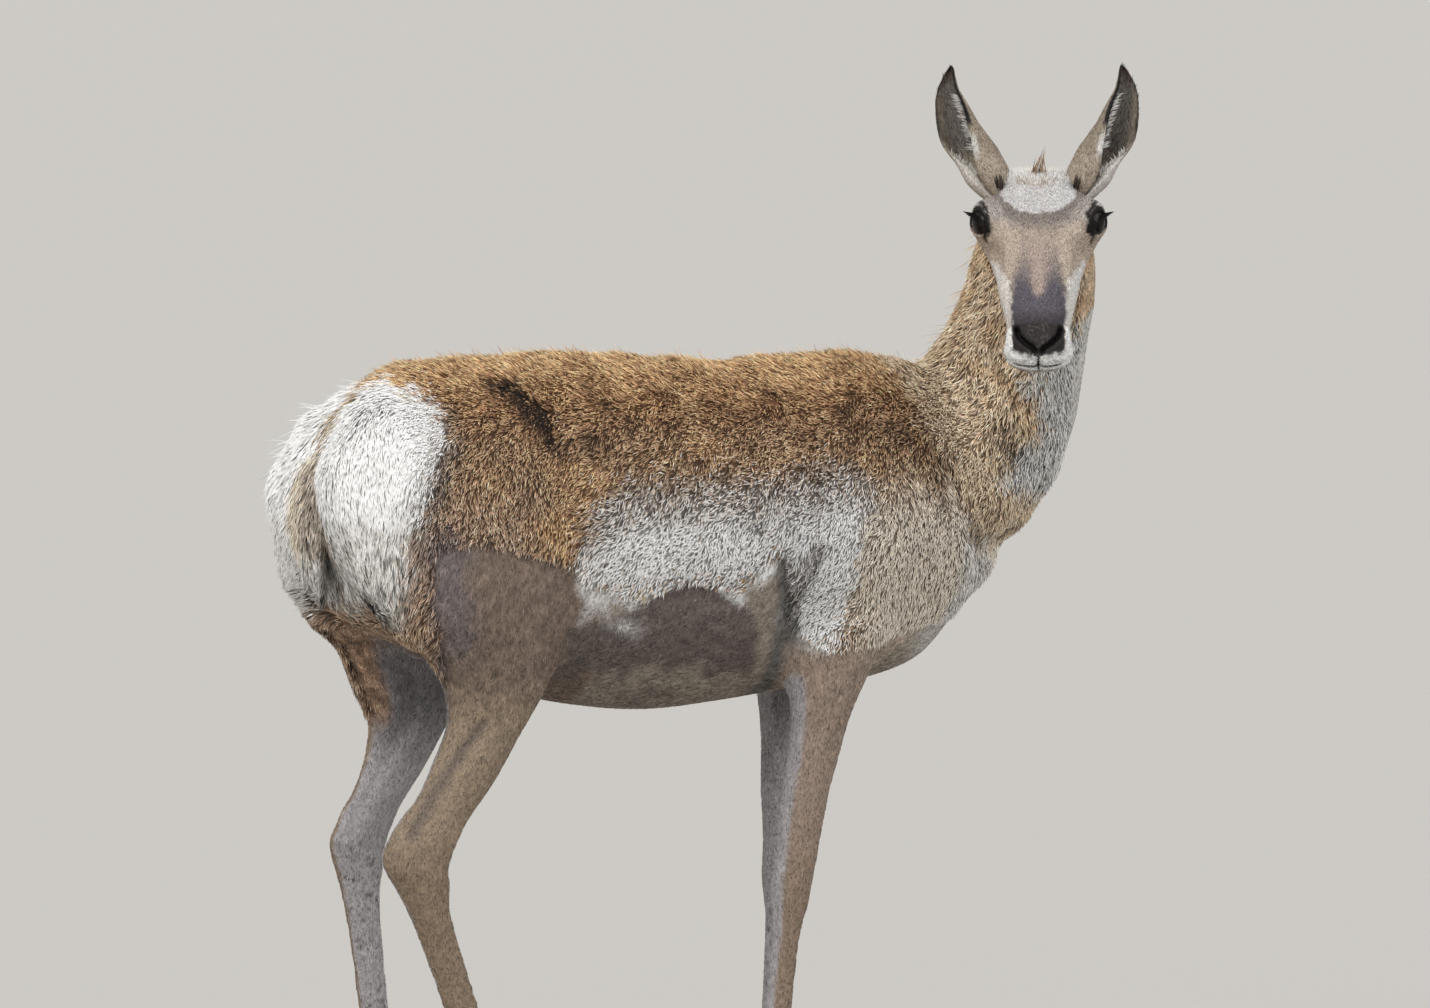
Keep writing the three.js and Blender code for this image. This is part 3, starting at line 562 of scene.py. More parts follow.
# Axes along the limbs, which say where on the animal a spot lies and how its hair runs
class Axis:
    """A bent line through the middle of a part, with its girth."""

    def __init__(self, points, girth, up):
        self.points = np.array(points, float)
        self.girth = np.array(girth, float)
        self.up = np.array(up, float)

    def near(self, spots):
        """The nearest place on the line for each spot, with its distance, girth and direction."""
        best = np.full(len(spots), 1e9)
        place = np.zeros(len(spots))
        for i in range(len(self.points) - 1):
            start, span = self.points[i], self.points[i + 1] - self.points[i]
            t = np.clip((spots - start) @ span / span.dot(span), 0, 1)
            far = np.linalg.norm(spots - start - t[:, None] * span, axis=1)
            closer = far < best
            best[closer], place[closer] = far[closer], (i + t)[closer]
        i = np.clip(place.astype(int), 0, len(self.points) - 2)
        directions = unit(np.diff(self.points, axis=0))
        middle = place - i
        other = np.clip(i + np.where(middle > 0.5, 1, -1), 0, len(directions) - 1)
        along = unit(mix(directions[i], directions[other], np.abs(middle - 0.5)[:, None]))
        girth = np.interp(place, np.arange(len(self.points)), self.girth)
        return place, best, girth, along

    def chart(self, spots):
        """Where a spot lies on the part's own unwrap: round the line and along it."""
        place, _, _, along = self.near(spots)
        i = np.clip(place.astype(int), 0, len(self.points) - 2)
        on = mix(self.points[i], self.points[i + 1], (place - i)[:, None])
        out = spots - on
        side = unit(np.cross(along, np.broadcast_to(self.up, spots.shape)))
        up = np.cross(side, along)
        angle = np.arctan2((out * side).sum(axis=1), (out * up).sum(axis=1))
        lengths = np.concatenate([[0], np.cumsum(np.linalg.norm(np.diff(self.points, axis=0), axis=1))])
        travelled = np.interp(place, np.arange(len(lengths)), lengths) / lengths[-1]
        beyond = ((out * along).sum(axis=1)) / lengths[-1]
        return np.column_stack([0.5 + angle / (2 * math.pi), travelled + beyond])


def leg_axis(name):
    kind, _, bones = leg_bones(name)
    places = np.linspace(0.4, 4, 40)
    behind, before, half = curve_of(GIRTH[kind], places).T
    centres = np.column_stack([np.interp(places, range(5), bones[:, k]) for k in range(3)])
    centres[:, 0] += (before - behind) / 2
    return Axis(centres, (before + behind) / 4 + half / 2, [1, 0, 0])


NECK_PLACES = np.linspace(0, len(NECK_PATH) - 1, 30)
NECK_GIRTHS = curve_of(NECK_GIRTH, NECK_PLACES).mean(axis=1)
NECK_AXIS = Axis(smooth_path(NECK_PATH, NECK_PLACES), NECK_GIRTHS, [1, 0, 0])
TRUNK_AXIS = Axis([[RUMP_X + 60, 0, 725], [CHEST_X - 40, 0, 715]], [125, 125], [0, 0, 1])
HEAD_LINE = from_head([[0, 0, 0], [110, 0, 0], [HEAD_LENGTH - 20, 0, -10]])
HEAD_AXIS = Axis(HEAD_LINE, [50, 55, 35], HEAD_FRAME[:, 2])
LEG_AXES = {name: leg_axis(name) for name in LEGS}


def region(spots):
    """Shares of leg and neck in each spot of the body, from 0 to 1, and the way that each runs."""
    _, y, z = spots.T
    leg_share = np.zeros(len(spots))
    down = np.zeros_like(spots)
    for name, axis in LEG_AXES.items():
        _, far, girth, along = axis.near(spots)
        own = ramp(far / girth, 1.7, 1.25) * ramp(z, 640, 540)
        own *= (y > 0) == ("left" in name)
        leg_share = np.maximum(leg_share, own)
        down += along * own[:, None]
    place, far, girth, along = NECK_AXIS.near(spots)
    neck_share = ramp(place / len(NECK_PLACES) * 5, 1.35, 2.3) * ramp(z, 700, 790)
    return {"leg": leg_share, "down": down, "neck": neck_share, "along_neck": along}


def line_distance(x, z, line):
    """How far each spot lies from a bent line, both seen from one side."""
    far = np.full(len(x), 1e9)
    for start, end in zip(np.array(line, float), np.array(line, float)[1:]):
        span = end - start
        t = np.clip(((x - start[0]) * span[0] + (z - start[1]) * span[1]) / span.dot(span), 0, 1)
        far = np.minimum(far, np.hypot(x - start[0] - t * span[0], z - start[1] - t * span[1]))
    return far


def near_line(x, z, line, reach):
    """1 on a bent line, falling to 0 at its reach."""
    return ramp(line_distance(x, z, line), reach, reach * 0.2)


def inside(x, z, outline, soft):
    """1 inside a closed outline and 0 outside it, with a soft edge."""
    outline = [*outline, outline[0]]
    within = np.zeros(len(x), bool)
    for (x0, z0), (x1, z1) in zip(outline, outline[1:]):
        if z1 != z0:
            within ^= ((z0 > z) != (z1 > z)) & (x < x0 + (z - z0) * (x1 - x0) / (z1 - z0))
    far = line_distance(x, z, outline)
    return ramp(np.where(within, far, -far), -soft, soft)


# Colours of the coat as root, middle and tip of a hair
def linear(red, green, blue):
    value = np.array([red, green, blue]) / 255
    return np.where(value <= 0.04045, value / 12.92, ((value + 0.055) / 1.055) ** 2.4)


def hair(root, middle, tip):
    return np.array([linear(*root), linear(*middle), linear(*tip)])


HAIR = {
    "back": hair((32, 21, 14), (138, 95, 65), (226, 173, 126)),
    "golden": hair((100, 69, 46), (212, 163, 119), (250, 206, 158)),
    "side": hair((44, 32, 24), (158, 122, 92), (228, 190, 152)),
    "saddle": hair((36, 26, 20), (130, 99, 75), (202, 166, 130)),
    "dark": hair((18, 14, 12), (44, 34, 28), (84, 67, 54)),
    "rump": hair((240, 240, 238), (250, 250, 249), (255, 255, 254)),
    # rump low: greyed white used as painted shade on the lower rump and between the thighs
    "rump low": hair((96, 90, 81), (148, 141, 130), (194, 186, 175)),
    "salt": hair((34, 28, 26), (206, 199, 191), (255, 254, 250)),
    "flank": hair((130, 127, 123), (232, 232, 230), (255, 255, 254)),
    "grey": hair((48, 44, 44), (122, 114, 108), (182, 172, 162)),
    "thigh": hair((58, 44, 34), (164, 132, 108), (228, 194, 166)),
    "smooth": hair((88, 74, 64), (120, 105, 94), (150, 133, 120)),
    "lilac": hair((70, 64, 66), (116, 108, 108), (142, 132, 130)),
    # belly: grey-brown used as painted shade under the barrel and in the hind shank's tendon groove
    "belly": hair((62, 54, 50), (104, 94, 89), (148, 136, 128)),
    "belly pale": hair((104, 97, 88), (144, 134, 122), (168, 156, 142)),
    # axilla: dull grey used as painted shade in the hollow behind the elbow
    "axilla": hair((70, 67, 64), (98, 95, 92), (124, 120, 114)),
    "shoulder": hair((96, 84, 70), (226, 210, 190), (255, 248, 234)),
    "chest": hair((120, 115, 110), (200, 195, 189), (236, 232, 227)),
    "neck": hair((100, 82, 66), (208, 178, 147), (250, 226, 196)),
    "ochre": hair((92, 69, 48), (184, 148, 112), (230, 196, 154)),
    "throat": hair((130, 127, 122), (206, 204, 199), (240, 239, 235)),
    "foreleg": hair((112, 96, 84), (150, 133, 120), (172, 155, 141)),
    "shin": hair((88, 76, 64), (134, 116, 98), (160, 142, 122)),
    "tan": hair((100, 87, 73), (148, 131, 112), (176, 158, 138)),
    "inner": hair((116, 112, 112), (162, 158, 160), (190, 187, 188)),
    # inner dark: used as painted shade on the legs' inner faces high up between them
    "inner dark": hair((76, 74, 76), (112, 109, 111), (138, 134, 134)),
    "cream": hair((166, 160, 153), (238, 234, 228), (255, 253, 250)),
    "tail": hair((112, 98, 82), (212, 196, 172), (246, 234, 216)),
    # tail dark: used as painted shade on her right side of the tail, by the gap next to the rump
    "tail dark": hair((54, 47, 42), (140, 128, 118), (184, 174, 163)),
    "tail tip": hair((120, 116, 110), (192, 190, 186), (228, 226, 222)),
    "stripe": hair((70, 52, 36), (168, 138, 104), (208, 184, 150)),
    "face": hair((126, 113, 101), (192, 176, 160), (220, 206, 191)),
    "pink": hair((122, 106, 98), (174, 157, 147), (200, 184, 174)),
    "muzzle": hair((56, 53, 60), (95, 90, 99), (121, 115, 123)),
    "band": hair((64, 58, 56), (116, 106, 102), (180, 170, 162)),
    "brow": hair((110, 104, 102), (172, 165, 160), (214, 209, 204)),
    "crown": hair((92, 66, 50), (166, 138, 114), (208, 188, 166)),
    "forehead": hair((132, 128, 126), (204, 203, 203), (236, 235, 234)),
    "black": hair((10, 9, 9), (24, 21, 21), (46, 41, 40)),
    "nose": hair((30, 27, 28), (46, 42, 42), (62, 57, 57)),
    "lip": hair((200, 200, 198), (246, 248, 247), (255, 255, 255)),
    "chin": hair((96, 88, 78), (168, 160, 148), (206, 200, 190)),
    "ear": hair((92, 80, 68), (150, 138, 121), (190, 178, 161)),
    "ear tip": hair((36, 30, 27), (78, 67, 60), (108, 95, 86)),
    "cup": hair((48, 44, 41), (96, 90, 84), (146, 138, 130)),
    "fringe": hair((160, 158, 152), (218, 216, 212), (240, 239, 236)),
}


class Paint:
    """Colours laid over one another, each as root, middle and tip of a hair."""

    def __init__(self, count, name):
        self.colour = np.broadcast_to(HAIR[name], (count, 3, 3)).copy()

    def lay(self, name, share):
        self.colour += (HAIR[name] - self.colour) * np.clip(share, 0, 1)[:, None, None]


# Lines and patches of the coat, as place along her and height. Below its edge the long coat ends.
COAT_EDGE = [
    [-272, 505], [-272, 528], [-290, 582], [-309, 636], [-305, 689], [-254, 693], [-194, 681], [-137, 664],
    [-132, 649], [-103, 643], [-64, 627], [-32, 642], [-4, 649], [33, 640], [57, 631], [73, 653],
    [91, 669], [112, 672], [121, 608], [135, 595], [155, 582], [171, 568], [207, 573], [269, 583],
    [302, 592], [360, 600],
]
LONG_COAT = [*COAT_EDGE, [500, 600], [500, 1300], [-500, 1300], [-500, 505]]
# Height of the white rump's edge, and where it stands there
RUMP_EDGE = [
    [590, -375], [623, -352], [653, -352], [695, -339], [739, -316], [780, -300], [811, -284], [840, -281],
    [853, -292], [865, -318], [900, -330],
]
FLANK_TOP = [[-122, 700], [-115, 715], [-68, 736], [2, 738], [75, 739], [153, 746], [206, 751], [217, 739]]
FLANK_PATCH = [*FLANK_TOP, [202, 688], [195, 620], [179, 560], [145, 560], [112, 600], [112, 690], [91, 664],
               [57, 625], [-4, 640], [-64, 622], [-137, 645], [-132, 675]]
STRIPE_GAP = [[133, 601], [150, 652], [165, 684], [150, 690], [128, 668], [118, 620]]
# Outline of painted shade on the low side of the barrel, below the long coat where it turns under
BELLY_SHADE = [
    [-150, 600], [-99, 607], [-65, 622], [-47, 640], [-26, 649], [6, 651], [44, 635], [61, 619], [83, 592],
    [97, 566], [94, 552], [64, 545], [21, 554], [-39, 556], [-81, 549], [-150, 545],
]
CHEST_PATCH = [
    [346, 712], [352, 690], [354, 655], [350, 620], [338, 585], [440, 560], [440, 640], [405, 668],
    [382, 700],
]
THIGH_STREAK = [[-296, 690], [-291, 635], [-282, 580], [-272, 519]]
GOLDEN_TUFTS = [[-158, 737], [-126, 716], [-121, 689], [-132, 665], [-184, 685], [-190, 712]]
HIP_PARTING = [[-219, 871], [-200, 858], [-182, 842], [-163, 823], [-155, 800]]
LOIN_PARTING = [[-155, 800], [-144, 758], [-137, 716], [-131, 672]]
# A crease at the base of the neck and a fold on her right side of the neck, both dented in and darkened with
# painted shade
NECK_CREASE = [[311, 780], [351, 713], [375, 677]]
NECK_FOLD = [[402, 797], [415, 784], [428, 768]]
# Spots where the hair stands apart and its dark roots show: place along, height, reach
PARTED = [
    [-184, 847, 13], [-162, 824, 16], [-84, 838, 12], [-66, 815, 16], [-1, 842, 9], [104, 826, 13],
    [122, 840, 12], [205, 828, 14], [222, 842, 13], [14, 775, 8], [43, 767, 7], [72, 704, 8],
    [130, 763, 8], [-112, 804, 9], [34, 812, 8], [-219, 871, 9], [-209, 864, 9], [-199, 857, 10],
    [-190, 850, 10], [-181, 841, 11], [-172, 832, 11],
]
LEFT_SHIFT = [24, -7]  # the same spots lie a little elsewhere on her left side
SMOOTH_THIGH = [*COAT_EDGE[1:8], [-120, 640], [-90, 500], [-300, 400]]
GREY_ZONE = [[-130, 700], [-130, 775], [220, 790], [225, 700]]
PALE_FOLD = [[-132, 640], [-100, 634], [-98, 612], [-128, 606]]
# Outline of painted shade in the hollow behind the elbow
AXILLA_SHADE = [[96, 672], [116, 676], [132, 625], [150, 560], [140, 520], [112, 520]]
ELBOW_HOLLOW = [[100, 672], [116, 674], [130, 625], [140, 570], [118, 560]]
FLANK_FOLD = [[-82, 603], [-120, 628]]
FLANK_CREASE = [[-137, 664], [-160, 690]]
# Heights with the places where the neck's colour begins, at the shoulder, and with how far forward
# its pale bands begin
NECK_EDGE = ([677, 713, 780, 850], [372, 350, 314, 296])
PALE_FROM = (
    [700, 728, 742, 780, 800, 836, 850, 880, 915, 935],
    [1.3, 1.2, 0.58, 0.6, 0.68, 0.5, 0.25, 0.35, 0.7, 1.4],
)
# Heights and places of the middle of the hind shank, and the groove of its tendon beside that,
# which is dented in and darkened with painted shade
SHANK = ([350, 612], [-300, -165])
TENDON_GROOVE = [[-36, 388], [-34, 430], [-30, 469], [-24, 500]]
# Lines along which the coat's surface dips, with their reach and depth
CREASES = [(HIP_PARTING, 16, 2.5), (LOIN_PARTING, 20, 2.5), (NECK_CREASE, 18, 4), (FLANK_CREASE, 20, 2)]


def past_rump_edge(x, z):
    """How far each spot lies behind the edge of the white rump."""
    return np.interp(z, *np.array(RUMP_EDGE, float).T) - x


def from_shank(x, z):
    """Place of each spot before or behind the middle of the hind shank."""
    return x - np.interp(z, *SHANK)


def paleness(colour):
    """How light the middle of each hair is, from 0 to 1."""
    return colour[:, 1].mean(axis=1)


def parted(spots):
    """How near a spot lies to where the hair stands apart, and the way out from there."""
    x, y, z = spots.T
    share = np.zeros(len(spots))
    away = np.zeros((len(spots), 3))
    shift = np.where(y[:, None] > 0, LEFT_SHIFT, 0)
    for at_x, at_z, reach in PARTED:
        dx, dz = x - at_x - shift[:, 0], z - at_z - shift[:, 1]
        own = np.exp(-((np.hypot(dx, dz * 1.2) / reach) ** 2)) * ramp(np.abs(y), 45, 65)
        share = np.maximum(share, own)
        away += np.column_stack([dx, 0 * dx, dz]) / reach * own[:, None]
    return share, away


def tail_share(spots):
    """1 on the tail and its hair, 0 away from it."""
    x, y, z = spots.T
    centre, width, thickness = curve_of(TAIL, z).T
    measure = np.hypot((y - TAIL_ASIDE) / (width + 4), (x - centre) / (thickness + 5))
    return ramp(measure, 1.4, 1.1) * ramp(z, 795, 780)


def throat_share(spots):
    """How much a spot belongs to the pale bands down the front of the neck."""
    path = np.array(NECK_PATH, float)
    height = spots[:, 2]
    forward = spots[:, 0] * 0.85 - spots[:, 1] * 0.5
    centre = np.interp(height, path[:, 2], path[:, 0] * 0.85 - path[:, 1] * 0.5)
    depth = np.interp(height, path[:, 2], np.array(NECK_GIRTH)[:, 1])
    return ramp((forward - centre) / depth - np.interp(height, *PALE_FROM), -0.09, 0.09)


def body_colour(spots, normals, scatter=0.0, seed=0):
    """The coat's colours on the body. Scatter lets neighbouring colours interleave, hair by hair."""
    draw = np.random.default_rng(seed).normal(size=(len(spots), 3)) * scatter
    x, y, z = spots.T
    where = region(spots)
    drift = three_waves(spots, 30, 1) * 5
    rx, ry, rz = (spots + drift + draw).T
    aside = np.abs(y)
    flat = ramp(aside, 45, 65)
    paint = Paint(len(spots), "back")
    lay = paint.lay
    lay("side", ramp(rz, 850, 780))
    lay("saddle", 0.7 * ramp(rx, 175, 235) * ramp(rz, 730, 800) * ramp(rx, 345, 315))
    # Painted highlight: the golden colour is laid where the skin faces up, lightening the top of the back
    lay("golden", ramp(normals[:, 2], 0.42, 0.86) * ramp(z, 800, 850))
    lay("dark", 0.35 * ramp(waves(spots, 40, 5), 0.2, 0.9) * ramp(np.abs(z - 815), 65, 25) * flat)
    lay("golden", 0.5 * ramp(waves(spots, 80, 6), 0.1, 0.8) * ramp(np.abs(z - 770), 60, 20) * flat)
    lay("shoulder", ramp(rx, 188, 216) * ramp(rz, 775, 700))
    lay("thigh", ramp(rx, -140, -200) * ramp(rz, 790, 700))
    lay("golden", 0.75 * inside(rx, rz, GOLDEN_TUFTS, 12) * flat)
    lay("chest", inside(rx, rz, CHEST_PATCH, 10))
    long = inside(x, z, LONG_COAT, 3)
    lay("belly pale", (1 - long) * (1 - where["leg"]))
    lay("chest", 0.8 * (1 - long) * ramp(rx, 285, 330) * (1 - where["leg"]))
    lay("smooth", inside(rx, rz, SMOOTH_THIGH, 4))
    lay("lilac", 0.85 * near_line(rx, rz, THIGH_STREAK, 36))
    high = rz + draw[:, 2] * 1.7
    in_flank = inside(rx, high, FLANK_PATCH, 7) * ramp(aside, 48, 70)
    lay("flank", in_flank)
    top = z - np.interp(x, *np.array(FLANK_TOP, float).T)
    lay("salt", in_flank * ramp(top, -42, -12))
    lay("grey", 0.6 * (1 - in_flank) * ramp(top, 36, 8) * ramp(top, -60, -30) * inside(x, z, GREY_ZONE, 20))
    lay("grey", 0.7 * in_flank * inside(x, z, STRIPE_GAP, 7))
    under = (1 - long) * ramp(aside, 30, 55)
    # Painted shade under the barrel, darkest at the bottom of the belly
    lay("belly", inside(rx, rz, BELLY_SHADE, 7) * under * ramp(rx, 110, 98))
    lay("belly", 0.6 * np.exp(-(((rx + 22) / 34) ** 2 + ((rz - 522) / 12) ** 2)))
    lay("flank", 0.7 * np.exp(-(((rx + 80) / 15) ** 2 + ((rz - 601) / 8) ** 2)) * under)
    lay("flank", 0.6 * inside(rx, rz, PALE_FOLD, 6) * under)
    # Painted shade in the hollow behind the elbow
    lay("axilla", 0.9 * inside(x, z, AXILLA_SHADE, 9))
    crease = np.interp(rz, *NECK_EDGE)
    lay("neck", np.maximum(where["neck"], ramp(rx - crease, -4, 8) * ramp(rz, 672, 692)))
    lay("ochre", 0.6 * where["neck"] * ramp(waves(spots, 36, 8), -0.1, 0.7))
    front = np.maximum(where["neck"], ramp(x, 380, 410))
    lay("throat", front * throat_share(spots + drift + draw) * ramp(z, 715, 735))
    # Painted shade in the fold on her right side of the neck
    lay("dark", 0.9 * near_line(rx, rz, NECK_FOLD, 11) * ramp(y, 0, -25))
    leg_colour(lay, spots, rz, normals, where["leg"])
    rim = past_rump_edge(rx, rz)
    rump = ramp(rim, -3, 4) * ramp(z, 585, 600)
    lay("grey", 0.85 * ramp(rim, -34, -6) * ramp(z, 590, 610) * ramp(rz, 850, 800))
    lay("rump", rump)
    # Painted shade on the lower part of the white rump, less on her left side and broken into streaks drawn
    # downwards
    low = np.interp(rz + waves(spots, 22, 9) * 12, [600, 640, 700, 750], [1, 1, 0.7, 0])
    drawn_down = mix(0.55, 1, ramp(waves(spots * [2, 2, 0.7], 26, 29), -0.3, 0.6))
    lay("rump low", rump * low * mix(1, 0.5, ramp(y, 0, 40)) * drawn_down)
    # Painted shade low between the thighs under the rump
    lay("rump low", ramp(aside, 85, 60) * ramp(x, -335, -365) * ramp(z, 640, 612) * ramp(z, 545, 565))
    streak = ramp(y, 40, 65) * ramp(normals[:, 0], -0.25, -0.6)
    streak = streak * ramp(z, 480, 515) * ramp(z, 625, 595) * ramp(x, -244, -268)
    lay("thigh", streak)
    lay("dark", 0.6 * streak * ramp(waves(spots, 14, 14), -0.6, 0.4))
    lay("stripe", rump * ramp(np.abs(ry), 9, 5) * ramp(z, 770, 790))
    lay("dark", near_line(rx, rz, HIP_PARTING, 15) * flat)
    lay("dark", 0.35 * near_line(rx, rz, LOIN_PARTING, 12) * flat)
    # Painted shade along the crease at the base of the neck
    lay("dark", 0.6 * near_line(rx, rz, NECK_CREASE, 10) * flat)
    lay("dark", 0.75 * parted(spots + draw * 0.6)[0] * ramp(waves(spots, 16, 13), -0.9, 0.3))
    on_tail = tail_share(spots)
    lay("tail", on_tail)
    # Painted shade on her right side of the tail, where it meets the gap by the rump
    lay("tail dark", on_tail * ramp(ry, 4, -10) * 0.85)
    lay("tail tip", on_tail * ramp(rz, 690, 676))
    lay("dark", on_tail * 0.7 * np.exp(-(((y + 6) / 5) ** 2 + ((z - 656) / 5) ** 2)))
    grain = 0.2 * waves(spots, 5, 27) + 0.12 * waves(spots, 13, 28)
    grain = grain * mix(1, 0.35, where["leg"] * ramp(z, 560, 480))
    return paint.colour * np.exp(grain * ramp(paleness(paint.colour), 0.7, 0.4))[:, None, None]


def leg_colour(lay, spots, rz, normals, share):
    """The colours of the legs. The height rz wavers a little, so that no edge is straight."""
    x, y, z = spots.T
    outer = np.sign(y) * normals[:, 1]
    fore = ramp(x, 40, 60)
    lower = share * ramp(z, 600, 560) * (1 - inside(x, z, LONG_COAT, 4))
    lay("smooth", lower * (1 - fore))
    lay("tan", lower * (1 - fore) * ramp(rz, 565, 500))
    lay("shin", 0.7 * lower * (1 - fore) * ramp(rz, 400, 360))
    # Painted shade in the groove beside the hind shank's tendon
    lay("belly", 0.7 * lower * (1 - fore) * near_line(from_shank(x, z), z, TENDON_GROOVE, 11))
    lay("foreleg", lower * fore)
    lay("shin", lower * fore * ramp(rz, 420, 300) * 0.6)
    rear = ramp(x, -285, -310) * ramp(z, 490, 525)
    lay("thigh", 0.9 * rear * ramp(z, 640, 560))
    lay("dark", 0.5 * rear * ramp(z, 600, 540) * ramp(waves(spots, 14, 14), -0.4, 0.6))
    inward = ramp(outer + waves(spots, 30, 11) * 0.1, 0.05, -0.35)
    lay("inner", lower * inward)
    # Painted shade on the inner faces of the legs higher up, between the legs
    lay("inner dark", lower * inward * 0.8 * ramp(rz, 440, 520))
    lay("inner", lower * fore * ramp(normals[:, 0], -0.68, -0.82))
    lay("inner", 0.8 * share * fore * ramp(normals[:, 0], -0.6, -0.8) * ramp(z, 640, 610))
    lay("cream", 0.9 * lower * (1 - fore) * ramp(normals[:, 0], 0.74, 0.86) * ramp(z, 400, 350))
    lay("dark", 0.75 * lower * ramp(waves(spots, 4.5, 12), 0.95, 1.25) * inward * ramp(rz, 400, 340))
    edge_on = 0.6 * share * (1 - fore) * ramp(np.abs(outer), 0.5, 0.2)
    lay("ochre", edge_on * ramp(np.abs(z - 560), 60, 30) * ramp(x, -270, -300))


def relief(spots, normals):
    """How far the coat's surface stands out from, or in from, the plain form."""
    x, y, z = spots.T
    flat = ramp(np.abs(y), 45, 70)
    rise = 1.5 * waves(spots, 60, 61) * ramp(z, 560, 640)
    for line, reach, depth in CREASES:
        rise -= depth * near_line(x, z, line, reach) * flat
    rise -= 4.5 * near_line(from_shank(x, z), z, TENDON_GROOVE, 15) * ramp(np.abs(normals[:, 1]), 0.4, 0.8)
    rise -= 19 * np.exp(-((((x - 425) / 40) ** 2) + ((z - 671) / 21) ** 2)) * ramp(normals[:, 0], 0.1, 0.5)
    rise -= 6 * near_line(x, z, NECK_FOLD, 12) * ramp(y, 0, -25)
    recess = inside(x, z, ELBOW_HOLLOW, 12)
    rise -= 7.0 * recess * flat
    rise += 2.0 * ramp(np.abs(normals[:, 1]), 0.5, 0.9) * near_line(x, z, FLANK_FOLD, 14) * flat
    rise += 9 * ramp(x, -290, -320) * ramp(y, -60, -80) * np.exp(-(((z - 578) / 30) ** 2))
    behind = ramp(y, 40, 65) * ramp(normals[:, 0], -0.15, -0.6) * ramp(x, -215, -245)
    rise += 20 * behind * np.exp(-(((z - 540) / 54) ** 2))
    return rise


def body_form(spots, normals):
    """The coat's own shape on the body: how long it is, how it rises and how deep it lies."""
    x, y, z = spots.T
    where = region(spots)
    outer = np.sign(y) * normals[:, 1]
    long = inside(x, z, LONG_COAT, 3) * (1 - ramp(z, 610, 590) * ramp(outer, 0.0, -0.3) * ramp(x, 0, -40))
    long = long * (1 - ramp(normals[:, 2], -0.75, -0.9) * ramp(z, 620, 600))
    back = ramp(normals[:, 2], 0.4, 0.85) * ramp(z, 790, 840) * (1 - where["neck"])
    rump = ramp(x, -300, -345) * ramp(z, 590, 620)
    length = mix(4.6, 10.5 + 3.5 * back + 5 * rump + 1.5 * where["neck"], long)
    lift = mix(0.24, 0.5 + 0.16 * back - 0.26 * rump, long)
    opened = near_line(x, z, HIP_PARTING, 15) * ramp(np.abs(y), 45, 65)
    length = length * (1 - 0.55 * np.maximum(opened, 0.8 * parted(spots)[0]))
    shank = where["leg"] * ramp(z, 500, 430) * (1 - long)
    length, lift = mix(length, 3.4, shank), mix(lift, 0.18, shank)
    ledge = ramp(line_distance(x, z, COAT_EDGE), 48, 0) * (1 - long) * (1 - shank)
    return {
        "long": long, "where": where, "rump": rump, "length": length, "lift": lift,
        "depth": 0.8 * length * lift + 3.2 * ledge,
    }


# The skin
body_points, body_faces = fused(*joined([trunk(), neck(), *(leg(name) for name in LEGS)]))
body_points = relaxed(body_points, body_faces, [0.5, -0.52] * 20, 1)
smoothed = ramp(body_points[:, 2], 380, 520)
body_points = relaxed(body_points, body_faces, [0.5] * 24, smoothed)
body_points, body_faces = joined([(body_points, body_faces), tail()])
body_normals = normals_of(body_points, body_faces)
sunk = body_form(body_points, body_normals)["depth"] - relief(body_points, body_normals)
sunk = relaxed(np.repeat(sunk[:, None], 3, axis=1), body_faces, [0.5] * 3, 1)[:, :1]
body_points = body_points - body_normals * sunk
body_normals = normals_of(body_points, body_faces)


SKULL_STEPS = [[-12, 65, 18], [65, 125, 50], [125, 222, 30], [222, 246, 20]]  # from, to, rings


def skull():
    """The head's skin, with its rings close together round the eyes and the nose."""
    even = [np.linspace(start, end, count, endpoint=False) for start, end, count in SKULL_STEPS]
    last = HEAD_LENGTH - NOSE_ROUND
    tip = last + NOSE_ROUND * np.sin(math.pi / 2 * np.arange(1, 34) / 34)
    places = np.concatenate([*even, tip])
    rings = []
    for x, row in zip(places, curve_of(HEAD, places)):
        top, bottom, half, widest, full_up, full_down = row
        size = rounding(HEAD_LENGTH - x, NOSE_ROUND, 2.3)
        up, down = (top - widest) * size, (widest - bottom) * size
        y, z = oval(SKULL_SIDES, half * size, up, down, full_up, full_down)
        middle = [min(x, HEAD_LENGTH - NOSE_CORE), 0, widest]
        spots = shaped(np.column_stack([np.full(len(y), x), y, widest + z]), middle, HEAD_FORMS)
        chin = 0.22 * np.maximum(0, -z) * ramp(x, 210, 262)
        nose = 0.016 * np.maximum(0, z) ** 2 * ramp(x, 215, 272)
        spots[:, 0] -= chin + nose
        rings.append(spots)
    return loft(np.array(rings))


def face_height(spots):
    """How high a spot of the head stands as seen from in front, with her muzzle pointing at the viewer."""
    return -0.602 * spots[:, 0] + 0.799 * spots[:, 2]


def lid_measure(spots, side):
    """How far spots of the head lie out of the eye's opening, and their place in the eye's own frame."""
    folded = spots * [1, side, 1]
    out, left, up = ((folded - EYE_AT) @ eye_frame()).T
    high = np.where(up > 0, EYELIDS["above"], EYELIDS["below"])
    opening = np.hypot(left / EYELIDS["half"], np.abs(up / high) ** 0.8)
    return opening, out, left, up


